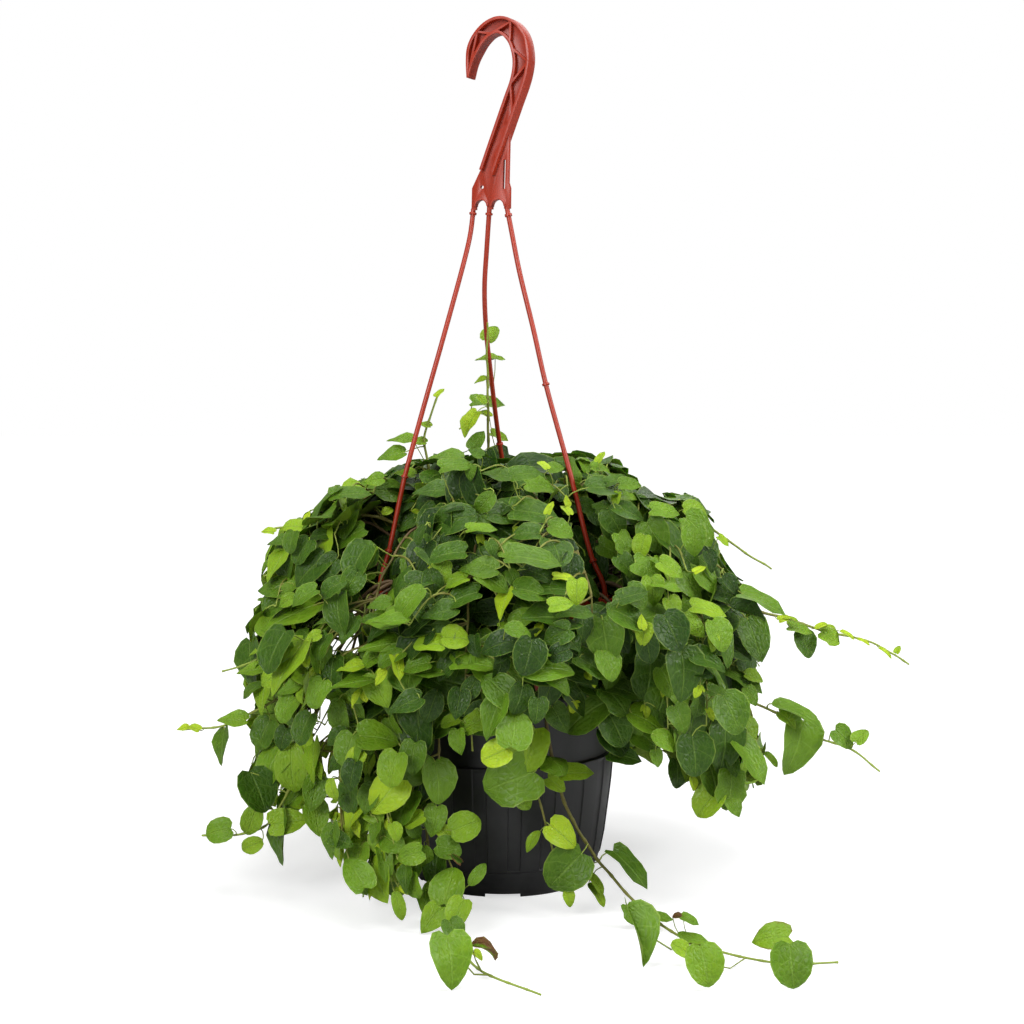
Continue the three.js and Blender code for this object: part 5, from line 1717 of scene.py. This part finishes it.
leading_chance = random.Random("leading leaves")
placed = 0
DEPTH_STEPS = (-10, -5, 0, 6, 12, 18, 26, 34, 44, 56, -18, -26, -36, -46, -56, -66, -76, -86, -94)
for row in LEADING:
    u, v, length, width, tip_turn, age = row[:6]
    usual = leading_chance.choices(range(6), weights=(30, 30, 20, 14, 0, 6))[0]
    kind = row[6] if len(row) > 6 else (usual if width > 0.5 * length else OPEN_LEAF)
    wear = max([reach for brown_u, brown_v, reach in BROWNED if (brown_u, brown_v) == (u, v)], default=0.0)
    far = picture_leaf(u, v, length, width, tip_turn, age, kind, DEPTH_STEPS, 0.5, wear)
    if far:
        book.keep_view(u, v, 0.26 * (length + width), far - 4)
        placed += 1
    else:
        print("no room for the leading leaf at", u, v)
print("leading leaves placed:", placed, "of", len(LEADING))

# %% [markdown]
# All other leaves follow the plant's own rule: one at each joint, on alternate sides of the stem, facing
# outwards and up, smaller and lighter towards the tip. A chance with a fixed seed for each runner varies
# their turn and size. A leaf that would cross another or hide a leading one is left out.

# %% Ordinary leaves of every runner
for name, runner in runners.items():
    if name in ("vine_climber", "vine_tendril"):
        continue
    leafy(runner, runner.line, runner.joints, 0.95, 0.5, 0.12)
    if not runner.free:
        tip_leaves(runner, runner.line, 16)
for name, runner in runners.items():
    for shoot, joints in runner.side_lines:
        leafy(runner, shoot, [*joints, len(shoot) - 2], 0.9, 0.65, ripe=25)
        if runner.chance.random() < 0.22:
            tip_leaves(runner, shoot, 13)

# %% [markdown]
# A grown dome has no bare patches, because its leaves turn to every ray of light. The book of leaves
# knows which parts of the picture are covered, so the places that aren't get one more leaf each: large
# ones in a first lap, then small ones in what is left between them.

# %% Leaves for the places still bare
fill_chance = random.Random("filling")
filled = 0
stem_rows_seen, stem_columns_seen = cells_of(stem_u, stem_v)
for spacing, shortest, longest in ((8, 34, 52), (7, 20, 32)):
    bare_stem = np.zeros(book.front.shape, bool)
    in_view = stem_far < book.front[stem_rows_seen, stem_columns_seen] - 1
    in_view &= (stem_table[:, 1] < -20) & (stem_v < 700)
    bare_stem[stem_rows_seen[in_view], stem_columns_seen[in_view]] = True
    cells = [(u, v) for u in range(250, 770, spacing) for v in range(450, 900, spacing)]
    fill_chance.shuffle(cells)
    for u, v in cells:
        row, column = v // CELL, u // CELL
        patch = (slice(row - 2, row + 3), slice(column - 2, column + 3))
        bare = book.front[patch] == EMPTY
        if bare.mean() < 0.4 and (bare_stem[patch].mean() < 0.12 or fill_chance.random() < 0.35):
            continue
        away = math.degrees(math.atan2(430 - v, u - 500)) + fill_chance.gauss(0, 30)
        length = fill_chance.uniform(shortest, longest)
        kind = fill_chance.choice((ROUND_LEAF, HEART_LEAF, OPEN_LEAF, OVATE_LEAF))
        width = length * FACE_WIDTHS[kind] * fill_chance.uniform(0.5, 0.95)
        # The region's share makes the leaves lighter on the left and low in front, partly as painted light
        age = 0.92 + region_age_and_light(stem_behind(u, v)) + fill_chance.gauss(0, 0.06)
        if picture_leaf(u, v, length, width, away, age, kind, (-12, -4, 5, 16, 30, 48), 0.4, 0.0, False):
            bare_stem[patch] = False
            filled += 1
print("leaves that fill bare places:", filled)

# Side shoots are drawn as far as their last leaf
for name, runner in runners.items():
    carriers = {tuple(line[0]) for line, thickness, ages, fine in runner.stems if fine}
    for shoot, joints in runner.side_lines:
        used = [i for i, place in enumerate(shoot) if tuple(place) in carriers]
        if used and used[-1] > 2:
            add_stem(runner, shoot[: used[-1] + 1], 0.8, 0.45, 0.45, 0.05, SHOOT_SPACING)
print("leaves:", sum(len(runner.leaves) for runner in runners.values()))

# %% [markdown]
# One Geometry Nodes tree turns every runner into geometry. Chains of points become curves and tubes,
# thick stems with eight sides and thin stalks with four. Loose points carry a leaf's kind, turn and
# size, and an instance of that pattern is put on each. Everything is realized into one plain mesh.

# %% The runner tree
fig_tree, given, made = new_tree(
    "fig_runner",
    [
        ("Stem sides", "Int"),
        ("Stalk sides", "Int"),
        ("Leaf patterns", "Collection"),
        ("Leaf", "Material"),
        ("Bark", "Material"),
    ],
)
POINT_DATA = {"kind": "INT", "size": "FLOAT", "turn": "FLOAT_VECTOR", "fine": "BOOLEAN"}
kind, size, turn, fine = [
    add(fig_tree, "GeometryNodeInputNamedAttribute", {"Name": name}, data_type=data_type)
    for name, data_type in POINT_DATA.items()
]
at_least = {"data_type": "INT", "operation": "GREATER_EQUAL"}
is_leaf = add(fig_tree, "FunctionNodeCompare", {2: kind, 3: 0}, **at_least)
SPLIT = "GeometryNodeSeparateGeometry"
leaves_apart = add(fig_tree, SPLIT, {0: given.outputs["Geometry"], 1: is_leaf}).outputs
stalks_apart = add(fig_tree, SPLIT, {0: leaves_apart[1], 1: fine}).outputs
tubes = add(fig_tree, "GeometryNodeJoinGeometry")
for chains, sides in ((stalks_apart[1], "Stem sides"), (stalks_apart[0], "Stalk sides")):
    give(fig_tree, tubes, {0: swept_tube(fig_tree, chains, given.outputs[sides])})
bark = add(fig_tree, "GeometryNodeSetMaterial", {0: tubes, "Material": given.outputs["Bark"]})
patterns = add(
    fig_tree,
    "GeometryNodeCollectionInfo",
    {0: given.outputs["Leaf patterns"], "Separate Children": True, "Reset Children": True},
)
blades = add(
    fig_tree,
    "GeometryNodeInstanceOnPoints",
    {
        "Points": leaves_apart[0],
        "Instance": patterns,
        "Pick Instance": True,
        "Instance Index": kind,
        "Rotation": add(fig_tree, "FunctionNodeEulerToRotation", {0: turn}),
        "Scale": size,
    },
)
skin = add(fig_tree, "GeometryNodeSetMaterial", {0: blades, "Material": given.outputs["Leaf"]})
whole = add(fig_tree, "GeometryNodeJoinGeometry")
for part in (skin, bark):
    give(fig_tree, whole, {0: part})
give(fig_tree, made, {0: add(fig_tree, "GeometryNodeRealizeInstances", {0: whole})})
print("nodes in the runner tree:", len(fig_tree.nodes))

# %% [markdown]
# A runner is one living thing, so its stem, stalks and leaves are one piece. Its chains and points go
# into one mesh, with what the tree needs to know kept as named attributes. The ones that the materials
# read, such as a leaf's age and tint, stay on the finished mesh, and the others are taken off.

# %% Every runner as one piece


def runner_mesh(runner):
    """A runner's chains and leaf points as a mesh with the attributes that the tree reads"""
    places, edges = [], []
    columns = {name: [] for name in ("thick", "age", "tint", "wear", "size", "kind", "fine", "turn")}
    for line, thickness, ages, fine_stem in runner.stems:
        edges += [(len(places) + i, len(places) + i + 1) for i in range(len(line) - 1)]
        places += line
        for thick_here, age_here in zip(thickness, ages):
            row = (thick_here * MM, age_here, 0.5, 0.0, 0.0, -1, fine_stem, (0, 0, 0))
            for column, value in zip(columns.values(), row):
                column.append(value)
    for base, euler, leaf_size, leaf_kind, age, tint, wear in runner.leaves:
        places.append(base)
        row = (0.0, age, tint, wear, leaf_size * MM, leaf_kind, False, tuple(euler))
        for column, value in zip(columns.values(), row):
            column.append(value)
    mesh = bpy.data.meshes.new(runner.name)
    mesh.from_pydata([place * MM for place in places], edges, [])
    kinds = {"kind": "INT", "fine": "BOOLEAN", "turn": "FLOAT_VECTOR"}
    for name, values in columns.items():
        attribute = mesh.attributes.new(name, kinds.get(name, "FLOAT"), "POINT")
        if name == "turn":
            attribute.data.foreach_set("vector", [part for value in values for part in value])
        else:
            attribute.data.foreach_set("value", values)
    return mesh


for name, runner in runners.items():
    growth = {"Stem sides": 8, "Stalk sides": 4, "Leaf patterns": leaf_shelf}
    mesh = grown(runner_mesh(runner), fig_tree, growth | {"Leaf": leaf_skin, "Bark": fig_bark})
    for layer in ("thick", "size", "kind", "fine", "turn"):
        if layer in mesh.attributes:
            mesh.attributes.remove(mesh.attributes[layer])
    finish_piece(name, mesh, [], "fig_foliage", name)

# %% [markdown]
# The leaf patterns have done their work and are removed.

# %% The end
for pattern_object in list(leaf_shelf.objects):
    bpy.data.objects.remove(pattern_object)
bpy.data.collections.remove(leaf_shelf)
